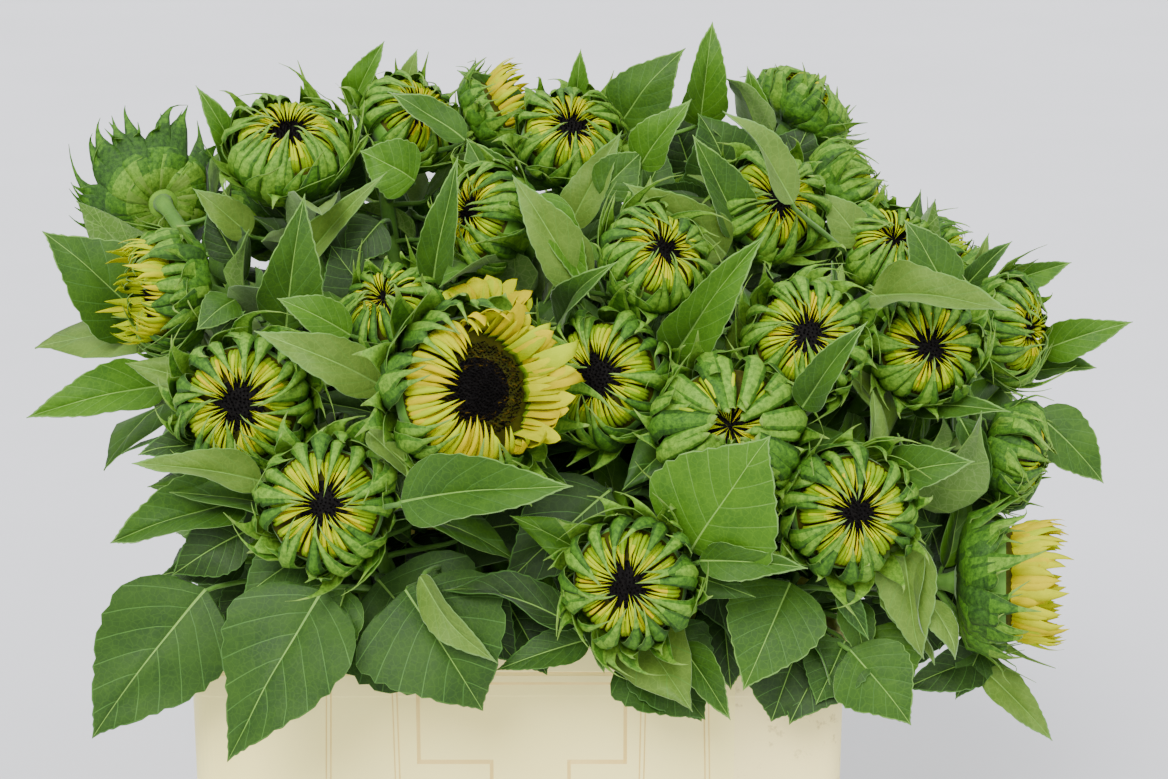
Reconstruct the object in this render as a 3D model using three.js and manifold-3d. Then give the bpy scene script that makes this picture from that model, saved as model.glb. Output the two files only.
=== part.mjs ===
// Cut sunflowers standing in a plastic crate: each flower is a leafy stem with a bloom at its tip.
// Millimetres, +Z up, +X to the right and +Y to the back as the crate is seen from its front.
// The origin is the centre of the crate's flat underside.

import * as THREE from "three";
import { mergeVertices } from "three/addons/utils/BufferGeometryUtils.js";
import Module from "manifold-3d";

const wasm = await Module();
wasm.setup();

// Driving dimensions. The crate's width and depth are those of its rim.
const crate = {
  width: 398,
  depth: 292,
  height: 260,
  draft: 4,
  rimHeight: 17,
  rimProud: 2,
  wall: 4,
  floor: 5,
  corner: 16,
  cornerSteps: 3,
};
const stem = {
  sides: 5,
  steps: 5,
  footRadius: 6.5,
  neckRadius: 4.5,
  neckReach: 60,
  spread: 0.42,
  bendAbove: 40,
};
const leafShape = {
  slim: 0.4,
  broad: 0.66,
  slimUpTo: 65,
  broadFrom: 125,
  thick: 0.03,
  arch: 38,
  skyward: 0.35,
};
const outline = { scale: 3.27, base: 0.6, tip: 1.3 };
const stalk = {
  radius: 1.8,
  rise: 20,
  share: 0.12,
  least: 8,
  bareFrom: 30,
  highest: 16,
  lowest: 120,
  step: 4,
};
const bloomSides = 10;
const touching = 0.3;
const sunk = 3;
const clearance = 0.4;
const crownCentre = new THREE.Vector3(25, 0, 250);
const front = { turn: 270, rise: 15 };

// One row a flower. at is the middle of the bloom, turn and rise say where it faces (turn 0 is
// +X, 270 is the front), radius is the bloom's, and open goes from 0, a bud, to 1, unfolded.
// A leaf is [[x, y, z], turn, rise, length, breadth, roll]: where its blade starts from the middle
// of the bloom, where it points, its length, its breadth over its length, and its roll.
const flowers = [
  { at: [-109, -180, 358], turn: 268, rise: 18, radius: 36, open: 0.35,
    leaves: [[[-39, 22, 8], 191, 12, 78, 0.35], [[-2, -10, -48], 205, -58, 115, 0.62],
      [[10, 5, -53], 231, -65, 61, 0.5], [[46, -38, 14], 352, 8, 101, 0.42]] },
  { at: [-162, -120, 402], turn: 263, rise: 15, radius: 38, open: 0.45,
    leaves: [[[-55, 60, -4], 194, -10, 88, 0.4], [[2, -20, -53], 187, -16, 87, 0.5],
      [[-1, -10, -94], 191, -7, 52, 0.5], [[-20, -45, -100], 200, -50, 113, 0.62]] },
  { at: [-26, -165, 422], turn: 293, rise: 18, radius: 47, open: 0.8,
    leaves: [[[-38, -15, -115], 332, -52, 87, 0.95], [[-21, -40, -98], 345, -53, 65, 0.35, 40],
      [[-51, 25, -4], 188, 26, 85, 0.33], [[-58, -10, -21], 344, -42, 50, 0.35]] },
  { at: [66, -210, 322], turn: 262, rise: 10, radius: 35, open: 0.42,
    leaves: [[[-31, 10, -30], 173, 15, 82, 0.35, 30], [[-23, 20, -42], 185, -18, 58, 0.4],
      [[35, 10, 15], 340, 59, 88, 0.85], [[40, 5, 11], 344, 1, 64, 0.35],
      [[30, 25, -47], 341, -54, 55, 0.45], [[13, 35, -48], 342, -56, 58, 0.9]] },
  { at: [193, -175, 353], turn: 282, rise: 14, radius: 36, open: 0.32,
    leaves: [[[-28, -15, -40], 205, -59, 71, 0.75], [[-3, 5, -81], 199, -58, 59, 0.8],
      [[3, 0, -85], 344, -49, 58, 0.75], [[23, 25, 13], 343, 16, 56, 0.5],
      [[-5, -10, -45], 330, -54, 34, 0.4]] },
  { at: [288, -130, 294], turn: 352, rise: 2, radius: 40, open: 0.85,
    leaves: [[[-6, 0, -56], 346, -44, 60, 0.4], [[-56, -30, 34], 322, -77, 76, 0.45, 40]] },
  { at: [123, -165, 399], turn: 272, rise: 24, radius: 39, open: 0.08,
    leaves: [[[5, 47, 36], 33, 34, 74, 0.35], [[3, 15, -84], 277, -68, 54, 0.5]] },
  { at: [52, -122, 418], turn: 250, rise: 22, radius: 37, open: 0.55,
    leaves: [[[3, -28, -60], 205, -36, 89, 0.6], [[29, -28, 25], 0, 48, 94, 0.38],
      [[-41, -6, 41], 333, 35, 66, 0.35]] },
  { at: [170, -125, 443], turn: 268, rise: 28, radius: 33, open: 0.35,
    leaves: [[[41, 35, 18], 328, 1, 96, 0.35], [[-5, -56, -23], 353, 55, 61, 0.4]] },
  { at: [245, -90, 428], turn: 275, rise: 18, radius: 31, open: 0.4,
    leaves: [[[-2, -20, -29], 0, -3, 53, 0.35]] },
  { at: [-221, 0, 443], turn: 205, rise: 5, radius: 35, open: 0.6,
    leaves: [[[-20, 45, -33], 189, 45, 95, 0.62], [[20, -40, -21], 0, 31, 37, 0.8]] },
  { at: [309, 0, 418], turn: 330, rise: 8, radius: 32, open: 0.4,
    leaves: [[[26, 38, -24], 352, 21, 64, 0.38], [[21, 42, -38], 352, 6, 44, 0.5],
      [[3, 45, 19], 353, 21, 46, 0.45]] },
  { at: [303, -80, 359], turn: 345, rise: -8, radius: 30, open: 0.12,
    leaves: [[[18, 40, 16], 347, -44, 64, 0.55], [[-38, -30, 31], 0, -66, 49, 0.4]] },
  { at: [-20, -40, 498], turn: 215, rise: 25, radius: 32, open: 0.45, leaves: [] },
  { at: [82, -90, 484], turn: 300, rise: 38, radius: 31, open: 0.5,
    leaves: [[[-8, 70, 42], 0, 53, 54, 0.5], [[40, 90, 14], 180, 16, 46, 0.7],
      [[-43, 0, -19], 180, 59, 83, 0.38]] },
  { at: [-146, 30, 529], turn: 270, rise: 60, radius: 37, open: 0.42,
    leaves: [[[-15, -40, -62], 0, 35, 98, 0.3], [[-29, 10, 7], 180, 47, 45, 0.5],
      [[-26, -10, -54], 180, 41, 47, 0.5]] },
  { at: [-72, 70, 539], turn: 318, rise: 45, radius: 32, open: 0.5,
    leaves: [[[-38, 10, 9], 0, 63, 48, 0.45], [[-6, 38, 13], 13, 73, 31, 0.4],
      [[6, -60, -27], 180, 29, 40, 0.95], [[-12, -70, -47], 191, -50, 41, 0.7]] },
  { at: [-18, 104, 537], turn: 0, rise: 30, radius: 29, open: 0.6,
    leaves: [[[19, -4, 4], 180, 32, 53, 0.35], [[5, -74, -35], 180, 60, 38, 0.6]] },
  { at: [30, 50, 532], turn: 280, rise: 46, radius: 32, open: 0.42,
    leaves: [[[84, 0, 8], 0, 84, 69, 0.5], [[33, 10, 13], 0, 48, 62, 0.6], [[5, 30, 12], 0, 86, 42, 0.5],
      [[1, -70, -44], 0, 62, 70, 0.35]] },
  { at: [185, 120, 541], turn: 25, rise: 48, radius: 30, open: 0.1,
    leaves: [[[-19, -10, -11], 180, 65, 45, 0.5]] },
  { at: [155, -20, 502], turn: 292, rise: 28, radius: 32, open: 0.45,
    leaves: [[[-21, -40, -16], 180, 29, 82, 0.38], [[-19, -20, -14], 180, 64, 70, 0.45]] },
  { at: [212, 60, 496], turn: 2, rise: 30, radius: 30, open: 0.25, leaves: [] },
  { at: [-20, -93, 436], turn: 268, rise: 62, radius: 30, open: 0.9, leaves: [] },
  { at: [-245, 110, 485], turn: 112, rise: 8, radius: 36, open: 0.6, leaves: [] },
  { at: [229, 0, 470], turn: 300, rise: 42, radius: 29, open: 0.3, fused: true,
    leaves: [[[42, -20, -23], 162, 54, 57, 0.6], [[-16, -10, 6], 180, 51, 44, 0.55]] },
  { at: [278, 60, 449], turn: 12, rise: 38, radius: 28, open: 0.35, fused: true, leaves: [] },
  { at: [-78, -60, 445], turn: 240, rise: 50, radius: 29, open: 0.2, fused: true,
    leaves: [[[-63, -10, -10], 0, 81, 87, 0.4], [[26, 0, 16], 0, 79, 83, 0.3],
      [[-22, -30, -8], 180, 28, 51, 0.5]] },
  { at: [-165, 122, 470], turn: 112, rise: 34, radius: 33, open: 0.4, fused: true, leaves: [] },
  { at: [-72, 172, 446], turn: 98, rise: 20, radius: 34, open: 0.5, fused: true, leaves: [] },
  { at: [28, 188, 424], turn: 88, rise: 14, radius: 34, open: 0.35, fused: true, leaves: [] },
  { at: [116, 172, 470], turn: 84, rise: 36, radius: 32, open: 0.2, fused: true, leaves: [] },
  { at: [196, 190, 408], turn: 76, rise: 14, radius: 34, open: 0.55, fused: true, leaves: [] },
  { at: [276, 142, 396], turn: 48, rise: 12, radius: 32, open: 0.3, fused: true, leaves: [] },
  { at: [-196, 158, 376], turn: 124, rise: 6, radius: 33, open: 0.3, fused: true, leaves: [] },
];

// Every stem also bears leaves by rule, turned by the golden angle from one to the next, each
// somewhat longer, lower and nearer the level than the last. loose says how far they may stray.
const grown = {
  count: 9,
  goldenAngle: 137.5,
  stemTurn: 71,
  first: 12,
  step: 13,
  rise: 50,
  riseStep: 9,
  length: 56,
  lengthStep: 6,
  loose: { length: 16, reach: 10, rise: 24, turn: 30, roll: 50 },
};
const tries = 9;
const tryStep = { back: 7, turn: 47, rise: 9 };
const lowestStalk = crate.height + 5;
const faceView = { from: 0.2, to: 130 };
const hiddenBlooms = 7;

const radians = THREE.MathUtils.degToRad;

// The same share from 0 to 1 for the same three numbers.
function chance(a, b, c) {
  const spun = Math.sin(a * 127.1 + b * 311.7 + c * 74.7) * 43758.5453;
  return spun - Math.floor(spun);
}

function direction(turn, rise) {
  const flat = Math.cos(radians(rise));
  const [x, y] = [flat * Math.cos(radians(turn)), flat * Math.sin(radians(turn))];
  return new THREE.Vector3(x, y, Math.sin(radians(rise)));
}

// A closed surface through rings of points, each counterclockwise about the way the rings advance.
// A ring of one point is a tip, and any other end is closed flat.
function loft(rings) {
  const starts = [];
  let count = 0;
  for (const ring of rings) {
    starts.push(count);
    count += ring.length;
  }
  const faces = [];
  for (let r = 0; r + 1 < rings.length; r++) {
    const sides = Math.max(rings[r].length, rings[r + 1].length);
    const corner = (ring, i) => starts[ring] + (rings[ring].length === 1 ? 0 : i % sides);
    for (let i = 0; i < sides; i++) {
      if (rings[r].length > 1) faces.push(corner(r, i), corner(r, i + 1), corner(r + 1, i + 1));
      if (rings[r + 1].length > 1) faces.push(corner(r, i), corner(r + 1, i + 1), corner(r + 1, i));
    }
  }
  const last = rings.length - 1;
  const [foot, top] = [starts[0], starts[last]];
  for (let i = 1; i + 1 < rings[0].length; i++) faces.push(foot, foot + i + 1, foot + i);
  for (let i = 1; i + 1 < rings[last].length; i++) faces.push(top, top + i, top + i + 1);
  return new THREE.BufferGeometry().setFromPoints(rings.flat()).setIndex(faces);
}

function solidOf(geometry) {
  const merged = mergeVertices(geometry, 1e-4);
  return new wasm.Manifold(
    new wasm.Mesh({
      numProp: 3,
      vertProperties: merged.attributes.position.array,
      triVerts: new Uint32Array(merged.index.array),
    }),
  );
}

function meshOf(name, solid, material) {
  const { vertProperties, triVerts } = solid.getMesh();
  const geometry = new THREE.BufferGeometry()
    .setAttribute("position", new THREE.BufferAttribute(vertProperties, 3))
    .setIndex(new THREE.BufferAttribute(triVerts, 1));
  geometry.computeVertexNormals();
  const mesh = new THREE.Mesh(geometry, material);
  mesh.name = name;
  return mesh;
}

// The crate's outline at one height, shrunk on every side by inset.
function crateRing(inset, z) {
  const radius = crate.corner - inset / 2;
  const acrossX = crate.width / 2 - inset - radius;
  const acrossY = crate.depth / 2 - inset - radius;
  const ring = [];
  for (const [quarter, x, y] of [[0, 1, 1], [1, -1, 1], [2, -1, -1], [3, 1, -1]]) {
    for (let k = 0; k <= crate.cornerSteps; k++) {
      const angle = (quarter + k / crate.cornerSteps) * (Math.PI / 2);
      ring.push(
        new THREE.Vector3(x * acrossX + radius * Math.cos(angle), y * acrossY + radius * Math.sin(angle), z),
      );
    }
  }
  return ring;
}

function crateGeometry() {
  const ledge = crate.height - crate.rimHeight;
  return loft([
    crateRing(crate.draft, 0),
    crateRing(crate.rimProud, ledge),
    crateRing(0, ledge),
    crateRing(0, crate.height),
    crateRing(crate.rimProud + crate.wall, crate.height),
    crateRing(crate.draft + crate.wall, crate.floor),
  ]);
}

// The bloom's outline as it turns about its axis, from the neck to the middle of its face.
// out and along are shares of its radius, for a bud and for an unfolded bloom.
const bloomProfile = [
  { bud: [0.17, -0.6], unfolded: [0.17, -0.6], tooth: 0 },
  { bud: [0.82, -0.38], unfolded: [0.82, -0.38], tooth: 0 },
  { bud: [0.98, 0.04], unfolded: [1.0, 0.02], tooth: 0.28 },
  { bud: [0.88, 0.28], unfolded: [0.9, 0.22], tooth: 0 },
  { bud: [0.55, 0.5], unfolded: [0.95, 0.86], tooth: 0.06 },
  { bud: [0.2, 0.5], unfolded: [0.6, 0.34], tooth: 0 },
];
const faceDepth = { bud: 0.42, unfolded: 0.3 };
const toothLift = 0.3;

// A frame whose third axis is the given direction.
function frameAbout(axis) {
  const side = new THREE.Vector3(0, 0, 1).cross(axis).normalize();
  return { side, up: axis.clone().cross(side), axis };
}

function bloomGeometry(flower, axis) {
  const { side, up } = frameAbout(axis);
  const centre = new THREE.Vector3(...flower.at);
  const mix = (bud, unfolded) => bud + (unfolded - bud) * flower.open;
  const rings = bloomProfile.map(({ bud, unfolded, tooth }) => {
    const out = mix(bud[0], unfolded[0]) * flower.radius;
    const along = mix(bud[1], unfolded[1]) * flower.radius;
    return Array.from({ length: bloomSides }, (_, i) => {
      const angle = (i * 2 * Math.PI) / bloomSides;
      const stand = i % 2 ? tooth : 0;
      return centre
        .clone()
        .addScaledVector(side, out * (1 + stand) * Math.cos(angle))
        .addScaledVector(up, out * (1 + stand) * Math.sin(angle))
        .addScaledVector(axis, along + stand * toothLift * flower.radius);
    });
  });
  rings.push([centre.clone().addScaledVector(axis, mix(faceDepth.bud, faceDepth.unfolded) * flower.radius)]);
  return loft(rings);
}

// A stem rises from the crate's floor, bends outwards above the rim and meets its bloom's neck.
function stemCurve(flower, axis) {
  const neckGap = flower.fused ? -sunk : touching;
  const neck = new THREE.Vector3(...flower.at).addScaledVector(
    axis,
    bloomProfile[0].bud[1] * flower.radius - neckGap,
  );
  const [x, y] = flower.at.map((place) => place * stem.spread);
  const foot = new THREE.Vector3(x, y, crate.floor + touching);
  const bend = foot.clone().setZ(crate.height + stem.bendAbove);
  const approach = neck.clone().addScaledVector(axis, -stem.neckReach);
  return new THREE.CubicBezierCurve3(foot, bend, approach, neck);
}

function stemGeometry(curve) {
  let side = new THREE.Vector3(1, 0, 0);
  const rings = [];
  for (let k = 0; k <= stem.steps; k++) {
    const t = k / stem.steps;
    const along = k === 0 ? new THREE.Vector3(0, 0, 1) : curve.getTangent(t);
    side = side.clone().addScaledVector(along, -side.dot(along)).normalize();
    const up = along.clone().cross(side);
    const radius = stem.footRadius + (stem.neckRadius - stem.footRadius) * t;
    const centre = curve.getPoint(t);
    rings.push(
      Array.from({ length: stem.sides }, (_, i) => {
        const angle = (i * 2 * Math.PI) / stem.sides;
        return centre
          .clone()
          .addScaledVector(side, radius * Math.cos(angle))
          .addScaledVector(up, radius * Math.sin(angle));
      }),
    );
  }
  return loft(rings);
}

// The place on the stem that a stalk to the given base leaves from, where its rise is most usual.
function stalkRoot(curve, base) {
  let best = null;
  for (let below = stalk.highest; below <= stalk.lowest; below += stalk.step) {
    const root = curve.getPoint(1 - below / (3 * stem.neckReach));
    if (root.z < lowestStalk && best) break;
    const usual = root.z + Math.hypot(base.x - root.x, base.y - root.y) * Math.tan(radians(stalk.rise));
    const miss = Math.abs(base.z - usual);
    if (!best || miss < best.miss) best = { root, miss };
  }
  return best.root;
}

// A leaf as it stands: where its stalk starts and ends, and the blade's own three directions.
function placeLeaf({ root, base, ahead, length, width, roll = 0 }, facing) {
  const normal = facing.clone().addScaledVector(ahead, -facing.dot(ahead)).normalize();
  normal.applyAxisAngle(ahead, radians(roll));
  return { root, base, ahead, normal, side: normal.clone().cross(ahead), length, width };
}

// A place on the blade: along goes from 0 at the stalk to 1 at the tip, across from -1 to 1.
function bladePoint(leaf, along, across, lift = 0) {
  const arch = radians(leafShape.arch);
  const bend = arch * (0.5 - along);
  const forward = (Math.sin(arch / 2) - Math.sin(bend)) / arch;
  const raised = (Math.cos(bend) - Math.cos(arch / 2)) / arch;
  const taper = outline.scale * along ** outline.base * (1 - along) ** outline.tip;
  const half = (leaf.width / 2) * Math.min(1, taper);
  const up = leaf.normal.clone().multiplyScalar(Math.cos(bend)).addScaledVector(leaf.ahead, -Math.sin(bend));
  return leaf.base
    .clone()
    .addScaledVector(leaf.ahead, leaf.length * forward)
    .addScaledVector(leaf.normal, leaf.length * raised)
    .addScaledVector(leaf.side, half * across)
    .addScaledVector(up, lift);
}

const bladeStations = [0.34, 0.68];
const skyward = new THREE.Vector3(0, 0, leafShape.skyward);

// A leaf is three-sided all the way: two edges and the rib between them.
function leafGeometry(leaf) {
  const across = (centre, half, ridge) => [
    centre.clone().addScaledVector(leaf.side, half),
    ridge,
    centre.clone().addScaledVector(leaf.side, -half),
  ];
  const stalkRing = (centre) =>
    across(centre, stalk.radius, centre.clone().addScaledVector(leaf.normal, stalk.radius));
  const bladeRing = (along) => [
    bladePoint(leaf, along, 1),
    bladePoint(leaf, along, 0, leaf.length * leafShape.thick),
    bladePoint(leaf, along, -1),
  ];
  const blade = [...bladeStations.map(bladeRing), [bladePoint(leaf, 1, 0)]];
  const bare = leaf.base.distanceTo(leaf.root) > stalk.bareFrom;
  return loft(bare ? [stalkRing(leaf.root), stalkRing(leaf.base), ...blade] : [[leaf.root], ...blade]);
}

// The leaves that the flower's row poses. Each try starts the blade further behind the bloom.
function posedLeaf(plant, [offset, turn, rise, length, breadth, roll], attempt) {
  const from = plant.centre.clone().add(new THREE.Vector3(...offset));
  const tip = from.clone().addScaledVector(direction(turn, rise), length);
  const base = from.addScaledVector(plant.axis, -tryStep.back * attempt);
  const ahead = tip.sub(base);
  const reach = ahead.length();
  const facing = direction(front.turn, front.rise).add(skyward);
  const root = stalkRoot(plant.curve, base);
  return placeLeaf(
    { root, base, ahead: ahead.divideScalar(reach), length: reach, width: length * breadth, roll }, facing);
}

function grownLeaves({ curve, index }) {
  const { loose } = grown;
  return Array.from({ length: grown.count }, (_, k) => {
    const length = grown.length + grown.lengthStep * k + loose.length * chance(index, k, 1);
    const reach = stalk.least + stalk.share * length + loose.reach * k * chance(index, k, 2);
    const rise = grown.rise - grown.riseStep * k + loose.rise * (chance(index, k, 3) - 0.5);
    const turn = grown.stemTurn * index + grown.goldenAngle * k + loose.turn * chance(index, k, 4);
    const roll = loose.roll * (chance(index, k, 5) - 0.5);
    const share = THREE.MathUtils.clamp(
      (length - leafShape.slimUpTo) / (leafShape.broadFrom - leafShape.slimUpTo), 0, 1);
    const width = length * (leafShape.slim + (leafShape.broad - leafShape.slim) * share);
    const root = curve.getPoint(1 - (grown.first + grown.step * k) / (3 * stem.neckReach));
    return { root, reach, turn, rise, length, width, roll };
  });
}

// The given leaf by rule, which each try turns and lifts more, to either side in turn.
function grownLeaf(entry, attempt) {
  const sway = Math.ceil(attempt / 2) * (attempt % 2 ? 1 : -1);
  const turn = entry.turn + sway * tryStep.turn;
  const ahead = direction(turn, entry.rise + sway * tryStep.rise);
  const base = entry.root.clone().addScaledVector(direction(turn, stalk.rise), entry.reach);
  const facing = base.clone().sub(crownCentre).normalize().add(skyward);
  return placeLeaf({ ...entry, base, ahead }, facing);
}

const material = (name, color, roughness) =>
  Object.assign(new THREE.MeshStandardMaterial({ color, roughness, metalness: 0 }), { name });
const crateMaterial = material("crate_plastic", 0xeee4c2, 0.45);
const leafMaterial = material("leaf_green", 0x4c7c2f, 0.65);
const bloomMaterial = material("bract_green", 0x5d8c33, 0.6);

const model = new THREE.Group();
const crateSolid = solidOf(crateGeometry());
model.add(meshOf("crate", crateSolid, crateMaterial));

const plants = flowers.map((flower, index) => {
  const axis = direction(flower.turn, flower.rise);
  const curve = stemCurve(flower, axis);
  const bloom = solidOf(bloomGeometry(flower, axis));
  const stalkSolid = solidOf(stemGeometry(curve));
  return {
    flower,
    index,
    axis,
    curve,
    centre: new THREE.Vector3(...flower.at),
    bloom: flower.fused ? null : bloom,
    leafy: flower.fused ? stalkSolid.add(bloom) : stalkSolid,
  };
});

function near(a, b) {
  return a.minGap(b, clearance) < clearance;
}

// A leaf by rule leaves the view of every bloom's face open, and from the front that of the bloom.
function hidesBloom(leaf) {
  const viewed = direction(front.turn, front.rise);
  const within = (offset, way, low, high, radius) => {
    const ahead = offset.dot(way);
    return ahead > low && ahead < high && offset.lengthSq() - ahead * ahead < radius * radius;
  };
  return plants.some(({ flower, index, axis, centre }) =>
    [0.25, 0.5, 0.75, 1].some((along) => {
      const offset = bladePoint(leaf, along, 0).sub(centre);
      const shown = index < flowers.length - hiddenBlooms;
      return (
        within(offset, axis, faceView.from * flower.radius, faceView.to, flower.radius) ||
        (shown && within(offset, viewed, 0, Infinity, flower.radius))
      );
    }),
  );
}

function blocked(solid, plant) {
  return (
    near(solid, crateSolid) ||
    plants.some((other) => other !== plant && near(solid, other.leafy)) ||
    plants.some((other) => other.bloom && near(solid, other.bloom))
  );
}

// The first try that clears everything and seals no hollow among the plant's leaves is kept.
function growLeaf(plant, leafAt, allowed) {
  for (let attempt = 0; attempt < tries; attempt++) {
    const leaf = leafAt(attempt);
    if (!allowed(leaf)) continue;
    const solid = solidOf(leafGeometry(leaf));
    if (blocked(solid, plant)) continue;
    const joined = plant.leafy.add(solid);
    if (joined.decompose().length === 1) {
      plant.leafy = joined;
      return;
    }
  }
}

for (const plant of plants) {
  for (const row of plant.flower.leaves) {
    growLeaf(plant, (attempt) => posedLeaf(plant, row, attempt), () => true);
  }
}
for (const plant of plants) {
  for (const entry of grownLeaves(plant)) {
    if (entry.root.z < lowestStalk) continue;
    growLeaf(plant, (attempt) => grownLeaf(entry, attempt), (leaf) => !hidesBloom(leaf));
  }
}

for (const { index, bloom, leafy } of plants) {
  const number = String(index + 1).padStart(2, "0");
  model.add(meshOf(`leafy_stem_${number}`, leafy, leafMaterial));
  if (bloom) model.add(meshOf(`bloom_${number}`, bloom, bloomMaterial));
}

export default model;
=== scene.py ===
# Looks of the cut sunflowers that stand in a plastic crate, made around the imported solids.
# Millimetres and degrees until a mesh is made, +Z up, the crate's front towards -Y.

import math

import bpy
import numpy as np
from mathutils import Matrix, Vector
from mathutils.kdtree import KDTree


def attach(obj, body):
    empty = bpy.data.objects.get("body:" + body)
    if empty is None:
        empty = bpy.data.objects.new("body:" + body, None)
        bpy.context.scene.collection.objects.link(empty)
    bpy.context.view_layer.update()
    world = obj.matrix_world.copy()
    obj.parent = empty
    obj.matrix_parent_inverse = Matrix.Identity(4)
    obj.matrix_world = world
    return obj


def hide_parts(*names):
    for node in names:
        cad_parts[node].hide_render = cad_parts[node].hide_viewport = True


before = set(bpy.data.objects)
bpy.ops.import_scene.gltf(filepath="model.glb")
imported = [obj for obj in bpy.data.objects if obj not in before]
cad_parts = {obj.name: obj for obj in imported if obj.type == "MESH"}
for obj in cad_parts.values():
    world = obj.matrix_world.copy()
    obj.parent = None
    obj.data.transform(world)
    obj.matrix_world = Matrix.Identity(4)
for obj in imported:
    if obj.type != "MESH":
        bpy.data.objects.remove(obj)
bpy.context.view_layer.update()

MM = 0.001

# The crate, stems and leaves have the sizes and rules of the solids, written again.
crate = {
    "width": 398, "depth": 292, "height": 260, "draft": 4, "rim_height": 17, "rim_proud": 2,
    "wall": 4, "floor": 5, "corner": 16,
}
stem = {"foot_radius": 6.5, "neck_radius": 4.5, "neck_reach": 60, "spread": 0.42, "bend_above": 40}
leaf_shape = {"slim": 0.4, "broad": 0.66, "slim_up_to": 65, "broad_from": 125, "arch": 38, "skyward": 0.35}
outline = {"scale": 3.27, "base": 0.6, "tip": 1.3}
stalk = {"radius": 1.8, "rise": 20, "share": 0.12, "least": 8, "highest": 16, "lowest": 120, "step": 4}
# A separate head stands clear of its stem's neck, and a fused one is sunk in it. The neck is behind
# the head's middle by a share of its radius.
touching = 0.3
sunk = 3
neck_behind = 0.6
crown_centre = np.array([25.0, 0.0, 250.0])
front = {"turn": 270, "rise": 15}

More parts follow.
